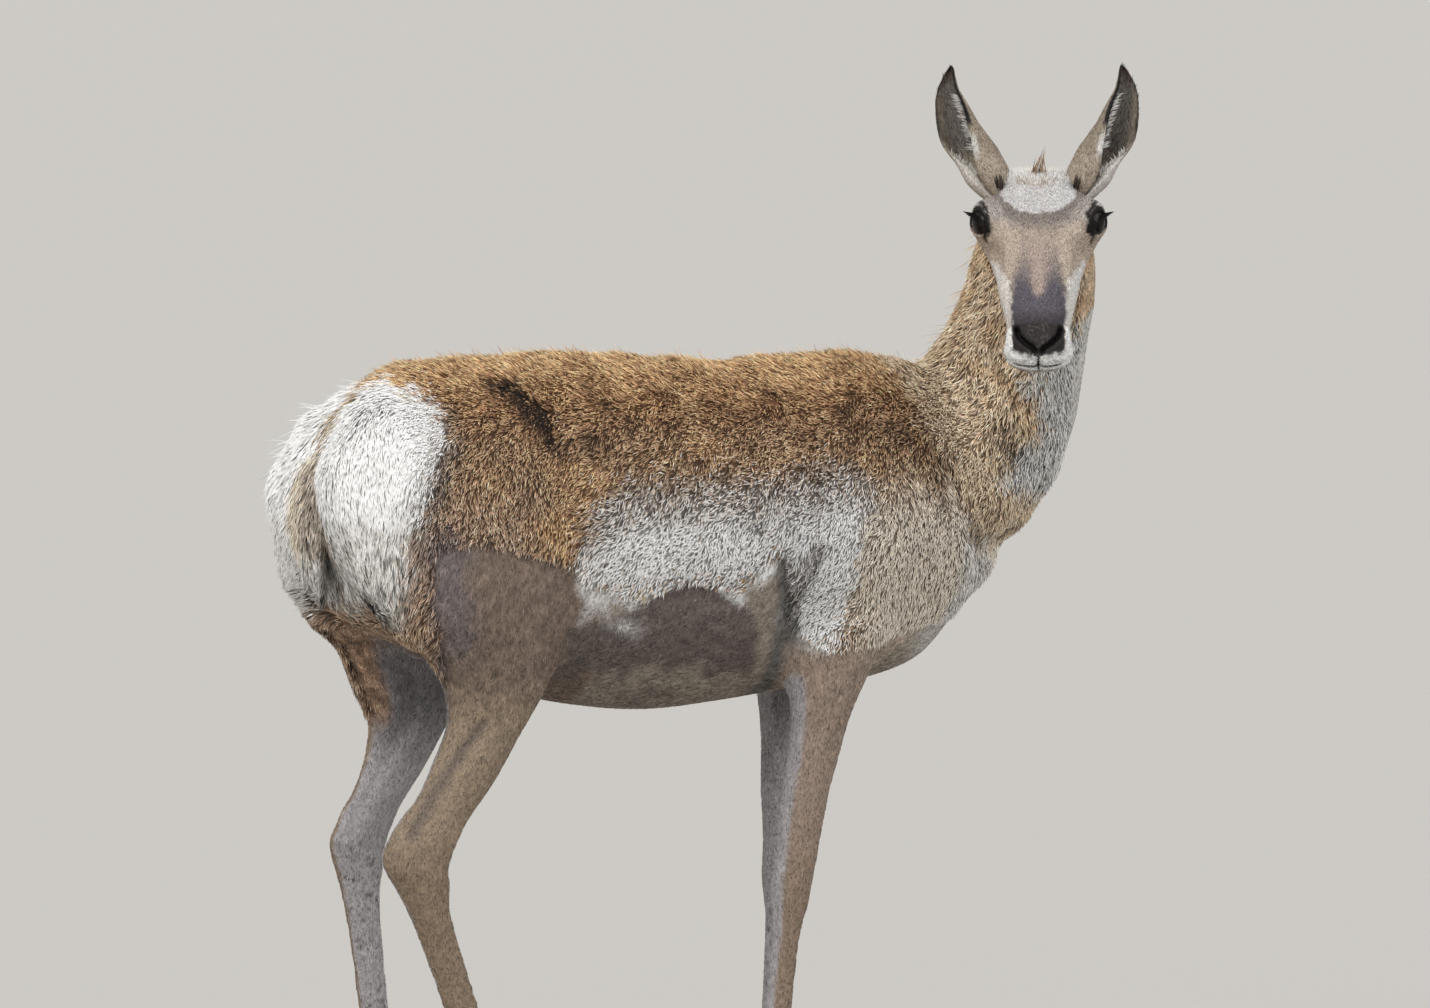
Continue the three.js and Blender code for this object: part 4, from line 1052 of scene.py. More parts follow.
def with_lids(points):
    """Lays the skin round each eyeball as lids, and sinks it in behind the opening."""
    lid, behind = EYE_RADIUS + LID, EYE_RADIUS - 3
    for side in (1, -1):
        opening, out, left, up = lid_measure(points, side)
        local = np.column_stack([out, left, up])
        far = np.linalg.norm(local, axis=1)
        near = (out > -2) & (far < 44)
        wanted = np.maximum(far, lid)
        wanted = mix(wanted, lid, ramp(opening, 2.0, 1.25))
        wanted = mix(wanted, behind, ramp(opening, 1.05, 0.95))
        moved = from_eye(local * (wanted / np.maximum(far, 1e-6))[:, None], side)
        points = np.where(near[:, None], moved, points)
    return points


# The nostril's comma and the line of the mouth, as places to the side and heights seen from in front
NOSTRIL = [[23.5, -135], [21, -143], [14.5, -149.5], [7, -154.5], [3.5, -158.5]]
NOSTRIL_HALF = 2.3


def nostril_distance(spots):
    return line_distance(np.abs(spots[:, 1]), face_height(spots), NOSTRIL)


def grooved(points, normals):
    """Sinks the nostrils, the line of the mouth and the cleft of the lip into the muzzle."""
    x, y, z = points.T
    tip = ramp(x, 236, 244)
    slit = ramp(nostril_distance(points), NOSTRIL_HALF + 1.6, NOSTRIL_HALF * 0.4) * tip
    rim = np.exp(-(((nostril_distance(points) - 6.5) / 2.6) ** 2)) * tip
    level = MOUTH["level"] - MOUTH["droop"] * np.maximum(0, MOUTH["tip"] - x - 34)
    mouth = np.exp(-(((z - level) / 1.7) ** 2)) * ramp(x, MOUTH["corner"], MOUTH["corner"] + 10)
    cleft = np.exp(-((y / 1.6) ** 2)) * ramp(z, 0, -4) * ramp(z, -26, -22) * ramp(x, 250, 256)
    move = -8.0 * slit + 1.5 * rim - 3.4 * mouth - 2.4 * cleft
    return points + normals * move[:, None]


def face_form(spots):
    """Length and rise of the hair on the head, in the head's frame, and the coat's depth there."""
    a, c, b = spots.T
    bare = ramp(a, 236, 246) * ramp(b, -14, -6)
    back = ramp(a, 62, 20)
    under = ramp(b, -26, -56)
    crest = ramp(face_height(spots), 16, 26) * ramp(b, 30, 45)
    chin = ramp(a, 214, 226) * ramp(b, -28, -36)
    cheek = ramp(np.abs(c), 34, 48) * np.exp(-(((face_height(spots) + 62) / 26) ** 2)) * ramp(a, 60, 80)
    length = 3.6 + 7 * back * ramp(b, 55, 20) + 5 * under * ramp(a, 230, 190) + 7 * crest + 9 * chin
    lift = 0.2 + 0.16 * back + 0.12 * under + 0.4 * crest + 0.4 * chin
    return length, lift, mix(0.8 * length * lift + 0.6, 0.1, bare) - 8 * crest + 5 * cheek


head_points, head_faces = skull()
head_normals = normals_of(head_points, head_faces)
head_points = head_points - head_normals * face_form(head_points)[2][:, None]
head_points = with_lids(grooved(head_points, head_normals))


def ear_frame(side):
    lean = [EAR_ALONG[0], EAR_ALONG[1] + EAR_LEAN[side], EAR_ALONG[2]]
    return looking(lean, EAR_FACING)


def ear(side, grow=-0.8):
    parts = np.linspace(0, 1, 76)
    rings = []
    for part, (radius, half, wall, bend) in zip(parts, curve_of(EAR_SHAPE, parts)):
        outer = np.radians(half) * (1 - 2 * np.linspace(0, 1, EAR_OUTSIDE))
        inner = np.radians(half) * (1 - 2 * np.linspace(1, 0, EAR_INSIDE))
        turn = np.concatenate([outer, inner])
        radii = np.repeat([radius + grow, radius - wall - grow], [EAR_OUTSIDE, EAR_INSIDE])
        along = np.full(len(turn), EAR_LENGTH * part)
        local = np.column_stack([along, radii * np.sin(turn), -radii * np.cos(turn)])
        spots = local @ ear_frame(side).T + EAR_ROOT
        spots[:, 1] += bend
        rings.append(spots * [1, side, 1])
    return loft(np.array(rings))


EARS = {"left": ear(1), "right": ear(-1)}
SIDE_OF = {"left": 1, "right": -1}


# Face markings, as outlines of places to the side and heights seen from in front
SIDE_STRIPE = [
    [51, -62], [46, -63], [31, -84], [29, -100], [28, -134], [32, -140], [39, -132], [45, -112], [50, -88],
]
PRONG = [[18, -46], [10, -58], [8, -88], [0, -104], [0, -132], [27.5, -132], [28, -92], [23, -62]]
NOSE_PAD = [
    [-27, -157], [-28, -140], [-27, -130], [0, -128], [27, -130], [28, -140], [27, -157], [14, -159.5],
    [3, -165], [-3, -165], [-14, -159.5],
]
# Dark marks by the eye with their reach, the line of the crown and the white tuft over the eye
EYE_MARKS = [
    ([[66, 9], [59, -1], [54.5, -11], [54, -24], [57, -34]], 5.0),
    ([[57, -34], [56.5, -42]], 2.4),
]
CROWN_LINE = [[-22, 23], [0, 20.5], [16, 22.5]]
BROW_TUFT = [[61, 12], [68, 14], [77, 7], [77, -4], [67, -3], [62, 3]]


def face_colour(spots, scatter=0.0, seed=0):
    """The coat's colours on the head, for spots in the head's own frame."""
    draw = np.random.default_rng(seed).normal(size=(len(spots), 3)) * scatter
    mixed = spots + draw + three_waves(spots, 9, 21) * 1.2
    a, c, b = mixed.T
    aside = np.abs(c)
    height = face_height(mixed)
    frontal = ramp(spots[:, 2], -14, 4)
    paint = Paint(len(spots), "face")
    lay = paint.lay
    lay("pink", ramp(aside, 20, 8) * ramp(height, -16, -50) * frontal)
    lay("neck", ramp(b, 6, -18) * ramp(a, 128, 96))
    lay("ochre", 0.5 * ramp(b, -4, -28) * ramp(a, 124, 90))
    lay("face", 0.8 * ramp(height, -16, -50) * ramp(aside, 26, 40) * ramp(b, -20, 0))
    lay("cream", ramp(b, -20, -34) * ramp(a, 100, 150))
    lay("cream", inside(aside, height, SIDE_STRIPE, 2.5) * ramp(b, -30, -16))
    lay("chin", ramp(b, -50, -60) * ramp(a, 60, 90))
    prong = inside(aside, height, PRONG, 5) * frontal
    lay("band", 0.35 * np.exp(-(((aside - 17) / 7) ** 2)) * ramp(height, -20, -34) * frontal)
    lay("muzzle", prong * ramp(height, -44, -96))
    lay("muzzle", ramp(height, -96, -106) * ramp(aside, 28.5, 26.5) * ramp(b, -12, 0))
    lay("nose", 0.75 * ramp(height, -112, -129) * ramp(aside, 28.5, 25) * ramp(b, -12, 0))
    edge = -11 + (1 - np.sqrt(np.clip(1 - (aside / 41) ** 2, 0, 1))) * 27
    lay("brow", 0.8 * ramp(height, -30, -12) * ramp(b, 30, 44))
    lay("band", 0.9 * ramp(height, edge - 28, edge - 6) * ramp(aside, 58, 44) * ramp(b, 30, 40))
    lay("brow", 0.8 * ramp(height, edge - 4, edge + 10) * ramp(aside, 38, 44))
    lay("forehead", ramp(height, edge - 1.5, edge + 1.5) * ramp(aside, 42, 39) * ramp(b, 30, 40))
    lay("cream", ramp(height, 21, 25) * ramp(b, 30, 45) * ramp(aside, 44, 36))
    lay("crown", 0.6 * near_line(c, height, CROWN_LINE, 3))
    lay("crown", ramp(np.hypot(c / 10, (a - 29) / 8), 1.1, 0.7) * ramp(b, 40, 50))
    lay("neck", ramp(spots[:, 0], 18, 4))
    fore = ramp(a, 66, 78)
    lay("forehead", fore * inside(aside, height, BROW_TUFT, 2.5))
    for line, reach in EYE_MARKS:
        lay("black", fore * near_line(aside, height, line, reach))
    for side in (1, -1):
        opening, out, _, up = lid_measure(spots, side)
        lid = 1.24 + 0.4 * ramp(up, 0, 6)
        lay("black", (spots[:, 1] * side > 0) * ramp(opening, lid, lid - 0.16) * ramp(out, 0, 6))
    muzzle_end = ramp(a, 226, 238)
    lay("lip", muzzle_end * ramp(aside, 27, 29.5) * ramp(height, -132, -139))
    lay("lip", muzzle_end * ramp(height, -156, -159) * ramp(b, 2, -4))
    flecks = 0.4 * muzzle_end * ramp(waves(spots, 3, 24), 0.4, 0.8)
    lay("grey", flecks * ramp(height, -154, -160) * ramp(aside, 28, 18))
    pad = inside(spots[:, 1], face_height(spots), NOSE_PAD, 1.2) * ramp(spots[:, 0], 234, 241)
    lay("nose", pad)
    # Painted shade darkens the pad round the nostrils and fills the nostril slits with black; the lighter
    # grey mottling on the pad's middle is a painted sheen
    lay("black", 0.6 * pad * ramp(nostril_distance(spots), 7, 2))
    lay("grey", 0.25 * pad * ramp(waves(spots, 4, 25), 0, 0.8) * ramp(np.abs(c), 16, 6))
    slit = ramp(nostril_distance(spots), NOSTRIL_HALF + 1.5, NOSTRIL_HALF)
    lay("black", slit * ramp(spots[:, 0], 236, 242))
    lay("chin", ramp(spots[:, 2], MOUTH["level"] - 3, MOUTH["level"] - 8) * ramp(a, 205, 225))
    # Painted shade: the groove of the mouth and the cleft of the upper lip are painted black
    lips = ramp(np.abs(spots[:, 2] - MOUTH["level"]), 2.2, 1.0)
    lay("black", lips * ramp(spots[:, 0], 210, 226) * ramp(aside, 28, 22))
    cleft = ramp(np.abs(spots[:, 1]), 1.8, 0.8) * ramp(spots[:, 2], 0, -5) * ramp(spots[:, 2], -26, -22)
    lay("black", cleft * ramp(spots[:, 0], 250, 256))
    return paint.colour


def ear_colour(part, turn, inner, scatter=0.0, seed=0):
    """The coat's colours on an ear, by its length, its turn round the roll and its face."""
    draw = np.random.default_rng(seed).normal(size=(2, len(part))) * scatter
    soft_part, soft_turn = part + draw[0], turn + draw[1]
    paint = Paint(len(part), "ear")
    lay = paint.lay
    lay("face", 0.5 * ramp(soft_part, 0.4, 0.2))
    lay("cream", 0.8 * ramp(soft_turn, -0.7, -0.9) * ramp(soft_part, 0.46, 0.34))
    lay("cup", inner * ramp(soft_part, 0.36, 0.46))
    # Painted shade deepening the middle of the ear's cup
    lay("band", 0.5 * inner * np.exp(-(((soft_part - 0.62) / 0.14) ** 2 + ((soft_turn - 0.1) / 0.35) ** 2)))
    lay("ear", 0.7 * inner * ramp(soft_turn, -0.55, -0.85) * ramp(soft_part, 0.9, 0.8))
    rim = 0.9 * inner * ramp(soft_turn, 0.1, 0.6)
    lay("fringe", rim * ramp(soft_part, 0.8, 0.6) * ramp(soft_part, 0.32, 0.42))
    lay("fringe", 0.9 * ramp(turn, 0.86, 0.93) * ramp(soft_part, 0.48, 0.42) * ramp(soft_part, 0.28, 0.36))
    lay("ear tip", ramp(soft_part, 0.86, 0.93))
    lay("black", ramp(turn, 0.86, 0.93) * ramp(part, 0.48, 0.54))
    lay("black", 0.8 * ramp(turn, -0.93, -0.98) * ramp(part, 0.45, 0.6))
    lay("black", 0.7 * ramp(part, 0.965, 0.985))
    return paint.colour


def ear_place(spots, side):
    """Part of the length, turn round the roll and whether it is the inner face, for spots on an ear."""
    folded = spots * [1, side, 1] - np.array(EAR_ROOT)
    part = np.clip((folded @ ear_frame(side))[:, 0] / EAR_LENGTH, 0, 1)
    for _ in range(3):
        radius, half, wall, bend = curve_of(EAR_SHAPE, part).T
        local = (folded - np.column_stack([bend * 0, bend, bend * 0])) @ ear_frame(side)
        part = np.clip(local[:, 0] / EAR_LENGTH, 0, 1)
    turn = np.degrees(np.arctan2(local[:, 1], -local[:, 2])) / half
    inner = ramp(np.hypot(local[:, 1], local[:, 2]), radius - wall * 0.4, radius - wall * 0.6)
    return part, turn, inner


# Materials
def shader(name, roughness, specular):
    material = bpy.data.materials.new(name)
    material.use_nodes = True
    tree = material.node_tree
    surface = tree.nodes["Principled BSDF"]
    surface.inputs["Roughness"].default_value = roughness
    surface.inputs["Specular IOR Level"].default_value = specular
    return material, tree, surface


def noise_node(tree, scale, detail, stretch=(1, 1, 1)):
    where = tree.nodes.new("ShaderNodeTexCoord")
    mapping = tree.nodes.new("ShaderNodeMapping")
    mapping.inputs["Scale"].default_value = stretch
    noise = tree.nodes.new("ShaderNodeTexNoise")
    noise.inputs["Scale"].default_value = scale
    noise.inputs["Detail"].default_value = detail
    tree.links.new(where.outputs["Object"], mapping.inputs["Vector"])
    tree.links.new(mapping.outputs["Vector"], noise.inputs["Vector"])
    return noise


def levelled(tree, noise, low, high):
    """Spreads a noise's middle values between two levels."""
    levels = tree.nodes.new("ShaderNodeMapRange")
    levels.inputs["From Min"].default_value = 0.3
    levels.inputs["From Max"].default_value = 0.7
    levels.inputs["To Min"].default_value = low
    levels.inputs["To Max"].default_value = high
    tree.links.new(noise.outputs["Fac"], levels.inputs["Value"])
    return levels.outputs["Result"]


def raised_by(tree, surface, noise, strength, distance):
    bump = tree.nodes.new("ShaderNodeBump")
    bump.inputs["Strength"].default_value = strength
    bump.inputs["Distance"].default_value = distance
    tree.links.new(noise.outputs["Fac"], bump.inputs["Height"])
    tree.links.new(bump.outputs["Normal"], surface.inputs["Normal"])


def coat_material(name, roughness, low, high, bump=0.0):
    """Hair: the painted colours, made uneven by fine noise drawn out downwards."""
    material, tree, surface = shader(name, roughness, 0.2)
    painted = tree.nodes.new("ShaderNodeAttribute")
    painted.attribute_name = "coat"
    fine = noise_node(tree, 520, 3, (1, 1, 0.4))
    uneven = tree.nodes.new("ShaderNodeVectorMath")
    uneven.operation = "SCALE"
    tree.links.new(painted.outputs["Color"], uneven.inputs[0])
    tree.links.new(levelled(tree, fine, low, high), uneven.inputs["Scale"])
    tree.links.new(uneven.outputs["Vector"], surface.inputs["Base Color"])
    if bump:
        raised_by(tree, surface, fine, bump, 0.0012)
    return material


skin_material = coat_material("short_fur", 0.75, 0.74, 1.2, bump=0.7)
hair_material = coat_material("coat_hair", 0.6, 0.86, 1.12)


def skin():
    ears = [(from_head(points), faces) for points, faces in EARS.values()]
    points, faces = joined([(body_points, body_faces), (from_head(head_points), head_faces), *ears])
    made = new_object("skin", points, faces, skin_material)
    colours = [body_colour(body_points, body_normals)]
    colours.append(face_colour(head_points))
    for name, (own, _) in EARS.items():
        colours.append(ear_colour(*ear_place(own, SIDE_OF[name])))
    mixed = np.vstack(colours)
    long = body_form(body_points, body_normals)["long"]
    roots = np.full(len(mixed), 0.15)
    roots[: len(long)] = mix(0.15, 0.75, long)
    paint(made.data, mix(mixed[:, 1], mixed[:, 0], roots[:, None]))
    return made


skin_piece = skin()
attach(skin_piece, "root")
FLESH = ["head", "neck", "torso", "tail", "ear_left", "ear_right"]
FLESH += [f"{name}_{part}" for name in LEGS for part in ("upper", "lower")]
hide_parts(*FLESH)


# Hair stands on the skin as tapered strands of three sides. Each kind lists places along the strand,
# from root to tip, with the strand's size there.
FINE = [(-0.1, 0), (0.52, 1), (1, 0)]
SHORT = [(-0.12, 1), (1, 0)]
GUARD = [(-0.05, 0.8), (0.4, 1), (0.75, 0.6), (1, 0)]
PATCH = 0.0012  # half the size of a strand's own patch on the bake's map


def strand_faces(kind):
    """Triangles of one strand, and how many points it has."""
    faces, before, count = [], None, 0
    for _, size in kind:
        ring = list(range(count, count + (3 if size else 1)))
        count += len(ring)
        if before is None:
            faces += [[0, 2, 1]] if size else []
        else:
            for k in range(3):
                j = (k + 1) % 3
                if len(ring) == 3:
                    faces.append([before[k % len(before)], ring[j], ring[k]])
                if len(before) == 3:
                    faces.append([before[k], before[j], ring[j % len(ring)]])
        before = ring
    return np.array(faces), count


def strands(kind, roots, leave, arrive, out, length, width, colour, chart, roundness=0.4):
    """Bent strands as points, colours, places on the bake's map, normals and triangles.

    Roundness is how much of a strand's own form its shading shows, over the form of the skin below."""
    length, half = length[:, None], width[:, None] / 2
    across = unit(np.cross(out, leave))
    points, levels, places, shading = [], [], [], []
    for place, size in kind:
        bent = max(place, 0) ** 2 / 2
        centre = roots + length * (leave * (place - bent) + arrive * bent)
        corners = [(-1, 0), (1, 0), (0, 1)] if size else [(0, 0)]
        part = np.clip(place, 0, 1) * 2
        shade = mix(colour[:, int(part > 1)], colour[:, 1 + int(part > 1)], part - int(part > 1))
        for aside, above in corners:
            points.append(centre + (across * aside + out * above) * half * size)
            levels.append(shade)
            places.append(chart + np.array([aside, 2 * place - 1 + 0.4 * above]) * PATCH)
            shading.append(out + across * aside * roundness)
    pattern, count = strand_faces(kind)
    faces = (np.arange(len(roots))[:, None, None] * count + pattern[None]).reshape(-1, 3)
    kinds = (points, levels, places, shading)
    return [*(np.stack(parts, axis=1).reshape(len(roots) * count, -1) for parts in kinds), faces]


def uneven(colour, seed, dark=0.12, bright=0.1, spread=0.2):
    """Lightens and darkens the colours from strand to strand, pale hair the least."""
    rng = np.random.default_rng(seed)
    pale = ramp(paleness(colour), 0.3, 0.85)
    shade = np.exp(rng.normal(0, 1, len(colour)) * mix(spread, 0.04, pale))
    draw = rng.random(len(colour))
    shade = shade * np.where(draw < dark * (1 - pale), 0.4, 1)
    shade = shade * np.where(draw > 1 - bright * (1 - pale), 1.25, 1)
    return np.clip(colour * shade[:, None, None], 0, 1)


def laid(roots, normals, lie, length, lift, seed, curl=0.45, swing=0.15):
    """Directions in which strands leave the skin and arrive at their tips, with their lengths."""
    rng = np.random.default_rng(seed)
    normals = unit(normals)
    lie = unit(lie - normals * (lie * normals).sum(axis=1, keepdims=True))
    across = np.cross(normals, lie)
    lie = unit(lie + across * rng.normal(0, swing, (len(roots), 1)))
    lift = np.clip(lift * rng.uniform(0.75, 1.25, len(roots)), 0.03, 0.97)[:, None]
    leave = lie * np.sqrt(1 - lift**2) + normals * lift
    low = lift * curl
    arrive = lie * np.sqrt(1 - low**2) + normals * low
    return leave, arrive, length * rng.uniform(0.75, 1.2, len(roots)), rng.uniform(0.8, 1.25, len(roots))


def clumps(roots, size, seed):
    """The middle of the clump that each root belongs to, and the clump's number."""
    warp = three_waves(roots, size * 2, seed) * size * 0.5
    cells = np.floor((roots + warp) / size).astype(np.int64)
    group = np.unique(cells, axis=0, return_inverse=True)[1].ravel()
    count = np.bincount(group)[:, None]
    middle = np.column_stack([np.bincount(group, weights=roots[:, k]) for k in range(3)]) / count
    return middle[group], group


def scattered(points, faces, spacing, seed):
    """Spots spread at random over a skin, each standing for as much of it as spacing squared."""
    rng = np.random.default_rng(seed)
    a, b, c = (points[faces[:, k]] for k in range(3))
    area = np.linalg.norm(np.cross(b - a, c - a), axis=1) / 2
    count = rng.poisson(area / spacing[faces].mean(axis=1) ** 2)
    face = np.repeat(np.arange(len(faces)), count)
    u, v = rng.random((2, len(face)))
    over = u + v > 1
    u[over], v[over] = 1 - u[over], 1 - v[over]
    return face, np.column_stack([1 - u - v, u, v])


def at_spots(values, faces, face, weights):
    return (values[faces[face]] * weights[:, :, None]).sum(axis=1)


def spread(points, faces, normals, spacing, seed):
    """Spots scattered over a skin, with the normals there."""
    face, weights = scattered(points, faces, np.broadcast_to(spacing, len(points)), seed)
    return at_spots(points, faces, face, weights), unit(at_spots(normals, faces, face, weights))


def coat_piece(name, made):
    points, colours, places, shading, faces = made
    piece = new_object(name, points, faces, hair_material)
    paint(piece.data, colours)
    piece.data.normals_split_custom_set_from_vertices(unit(shading))
    layer = piece.data.uv_layers.new(name="OFBake")
    layer.data.foreach_set("uv", places[faces.ravel()].astype(np.float32).ravel())
    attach(piece, "root")


def fitted(chart):
    """A chart scaled to the middle of the bake's square."""
    low, high = chart.min(axis=0), chart.max(axis=0)
    return 0.01 + 0.97 * (chart - low) / np.maximum(high - low, 1e-6)


def grown(kind, roots, out, lie, length, lift, seed, colour, chart, width, roundness=0.4, **manner):
    """Strands that grow from their roots along a lie, each with its own small differences."""
    leave, arrive, length, size = laid(roots, out, lie, length, lift, seed, **manner)
    return strands(kind, roots, leave, arrive, out, length, size * width, colour, fitted(chart), roundness)


def body_lie(spots, normals, where):
    """The way the hair runs over the body."""
    x, y, z = spots.T
    side = np.sign(y) * ramp(np.abs(y), 5, 60)
    none, back = np.zeros(len(x)), np.full(len(x), -1.0)
    low = ramp(z, 880, 740)
    lie = np.column_stack([back, side * 0.15, -0.08 - 0.7 * low])
    steep = np.maximum(ramp(x, -130, -200) * ramp(z, 830, 740), ramp(x, 140, 230) * ramp(z, 840, 740))
    lie = mix(lie, np.column_stack([back * 0.45, none, back]), steep[:, None])
    rump = ramp(x, -310, -350)
    lie = mix(lie, np.column_stack([back * 0.3, side * 0.6, back]), rump[:, None])
    calm = 1 - 0.7 * rump[:, None]
    belly = ramp(normals[:, 2], -0.4, -0.8) * (1 - where["leg"])
    lie = mix(lie, np.column_stack([back, none, none]), belly[:, None])
    lie = mix(lie, -where["along_neck"], where["neck"][:, None])
    lie = mix(lie, unit(where["down"] + [0, 0, -1e-3]), where["leg"][:, None])
    swirl = three_waves(spots, 55, 31)
    clump = three_waves(spots, 13, 41)
    return unit(lie) + (swirl * 0.2 + clump * 0.2) * calm + parted(spots)[1] * 1.2


body_tree = BVHTree.FromPolygons(body_points.tolist(), body_faces.tolist())
head_tree = BVHTree.FromPolygons(from_head(head_points).tolist(), head_faces.tolist())


def buried(spots, tree, depth):
    """Which spots lie deeper than a depth inside a closed skin."""
    found = np.zeros(len(spots), bool)
    for i, spot in enumerate(spots.tolist()):
        near, normal, _, _ = tree.find_nearest(spot, 60)
        if near is not None:
            found[i] = (Vector(spot) - near).dot(normal) < -depth
    return found


def owners(roots, neck_share):
    """Which part of the body each root belongs to, as a number in BODY_AXES."""
    shares = [np.full(len(roots), 0.5), neck_share]
    for name, axis in LEG_AXES.items():
        _, far, girth, _ = axis.near(roots)
        same = (roots[:, 1] > 0) == ("left" in name)
        shares.append(np.where(same, ramp(far / girth, 1.7, 1.2) * ramp(roots[:, 2], 560, 500), 0))
    return np.argmax(np.stack(shares), axis=0)


BODY_AXES = {"trunk": TRUNK_AXIS, "neck": NECK_AXIS, **LEG_AXES}
# Distance between neighbouring strands, and between guard hairs where they stand closest
LONG_SPACING, SHORT_SPACING, HEAD_SPACING, EAR_SPACING, GUARD_SPACING = 2.0, 2.6, 1.75, 1.85, 11
CLUMP = 12  # size of the locks that the long hair draws together in
MOST = {"long": 31000, "short": 46000}  # strands in one piece


def on_body(spacing, seed):
    """Roots spread over the body's skin, less those inside the head, with their normals."""
    roots, normals = spread(body_points, body_faces, body_normals, spacing, seed)
    close = np.nonzero(np.linalg.norm(roots - from_head([90, 0, 0]), axis=1) < 190)[0]
    shown = np.ones(len(roots), bool)
    shown[close] = ~buried(roots[close], head_tree, 1.5)
    return roots[shown], normals[shown]


def body_hair():
    vertex = body_form(body_points, body_normals)
    roots, normals = on_body(mix(SHORT_SPACING, LONG_SPACING, vertex["long"]), 101)
    form = body_form(roots, normals)
    long = form["long"] > 0.5
    colour = body_colour(roots, normals, mix(3.0, 7.0, long)[:, None], 102)
    middle, group = clumps(roots, CLUMP, 51)
    tone = np.exp(np.random.default_rng(103).normal(0, 0.08, group.max() + 1))[group]
    lie = body_lie(roots, normals, form["where"])
    lie += 0.3 * (middle - roots) / form["length"][:, None] * long[:, None]
    tone = mix(1, tone, ramp(paleness(colour), 0.6, 0.3))
    dark, bright, wide = mix(0.08, 0.24, long), mix(0.06, 0.14, long), mix(0.2, 0.36, long)
    colour = uneven(colour * tone[:, None, None], 104, dark, bright, wide)
    bold = (long * (1 - form["rump"]) * ramp(paleness(colour), 0.75, 0.35))[:, None]
    colour[:, 1] *= 1 - 0.24 * bold
    colour[:, 2] = np.minimum(colour[:, 2] * (1 + 0.16 * bold), 1)
    owner = owners(roots, form["where"]["neck"])
    for index, (name, axis) in enumerate(BODY_AXES.items()):
        for kind, own in (("long", long), ("short", ~long)):
            chosen = np.nonzero((owner == index) & own)[0]
            if len(chosen) < 20:
                continue
            chosen = chosen[np.argsort(roots[chosen, 0 if name == "trunk" else 2])]
            parts = math.ceil(len(chosen) / MOST[kind])
            for number, part in enumerate(np.array_split(chosen, parts)):
                seed = 1000 + index * 50 + number * 2 + (kind == "long")
                rump = form["rump"][part]
                made = grown(
                    FINE if kind == "long" else SHORT, roots[part], normals[part], lie[part],
                    form["length"][part], form["lift"][part], seed, colour[part], axis.chart(roots[part]),
                    mix(1.1, 1.6, rump) if kind == "long" else 1.0, curl=0.5,
                    swing=mix(0.32, 0.09, rump)[:, None], roundness=mix(0.5, 0.1, rump)[:, None],
                )
                coat_piece(f"coat_{name}_{kind}_{number + 1}", made)


body_hair()


def guard_share(spots, normals):
    """Where single longer hairs stand out of the coat."""
    x, y, z = spots.T
    where = region(spots)
    back = ramp(normals[:, 2], 0.25, 0.7) * ramp(z, 800, 840) * (1 - where["neck"])
    rim = past_rump_edge(x, z)
    rump = np.exp(-(((rim - 2) / 14) ** 2)) * ramp(z, 620, 660) + 0.35 * ramp(rim, 5, 30) * ramp(z, 600, 640)
    fringe = np.exp(-((line_distance(x, z, COAT_EDGE[6:]) / 9) ** 2)) * ramp(np.abs(y), 40, 60)
    nape = where["neck"] * ramp(normals @ unit(np.array([-0.85, 0.5, 0])), 0.2, 0.8)
    return np.maximum.reduce([back, rump, 0.7 * fringe, 0.8 * nape, 0.1 * inside(x, z, LONG_COAT, 3)])


def guard_hair():
    share = guard_share(body_points, body_normals)
    roots, normals = on_body(GUARD_SPACING / np.sqrt(np.maximum(share, 0.003)), 151)
    form = body_form(roots, normals)
    shown = form["long"] > 0.5
    roots, normals = roots[shown], normals[shown]
    colour = uneven(body_colour(roots, normals, 6.0, 152), 153, 0.05, 0.3)
    colour[:, 0] = colour[:, 1]
    lie = body_lie(roots, normals, region(roots))
    nape = region(roots)["neck"]
    stray = np.maximum(nape, ramp(roots[:, 0], -330, -380) * ramp(roots[:, 2], 720, 780))
    length = form["length"][shown] * mix(1.5, np.where(nape > 0.5, 2.4, 1.9), stray)
    lift = np.minimum(form["lift"][shown] * mix(1.3, 1.5, nape) + 0.4 * (stray - nape), 0.9)
    chart = TRUNK_AXIS.chart(roots)
    made = grown(GUARD, roots, normals, lie, length, lift, 154, colour, chart, 0.8, curl=0.6, swing=0.3)
    coat_piece("coat_guard_hairs", made)


guard_hair()


def placed_on_head(made):
    """Strands made in the head's frame, brought into the body's."""
    points, colours, places, shading, faces = made
    return from_head(points), colours, places, shading @ HEAD_FRAME.T, faces


def open_face(spots):
    """Which spots of the head are neither in an eye's opening nor on the bare nose."""
    shown = ~buried(from_head(spots), body_tree, 1.0)
    for side in (1, -1):
        opening, _, left, up = lid_measure(spots, side)
        shown &= (opening > 1.25) | (spots[:, 1] * side < 0) | (np.hypot(left, up) > 40)
    pad = inside(spots[:, 1], face_height(spots), NOSE_PAD, 1)
    return shown & ~((pad > 0.3) & (spots[:, 0] > 236))


def head_hair():
    normals = normals_of(head_points, head_faces)
    roots, out = spread(head_points, head_faces, normals, HEAD_SPACING, 201)
    shown = open_face(roots)
    roots, out = roots[shown], out[shown]
    length, lift, _ = face_form(roots)
    colour = uneven(face_colour(roots, 0.9, 203), 204, 0.05)
    a, c, b = roots.T
    aside, down = 0.3 * np.sign(c) * ramp(np.abs(c), 2, 30), -0.1 - 0.6 * ramp(b, 0, -40)
    lie = np.column_stack([np.full(len(a), -1.0), aside, down])
    lie += three_waves(roots, 14, 44) * 0.2
    chart = HEAD_AXIS.chart(from_head(roots))
    made = grown(SHORT, roots, out, lie, length, lift, 202, colour, chart, 0.8)
    coat_piece("coat_head", placed_on_head(made))


head_hair()


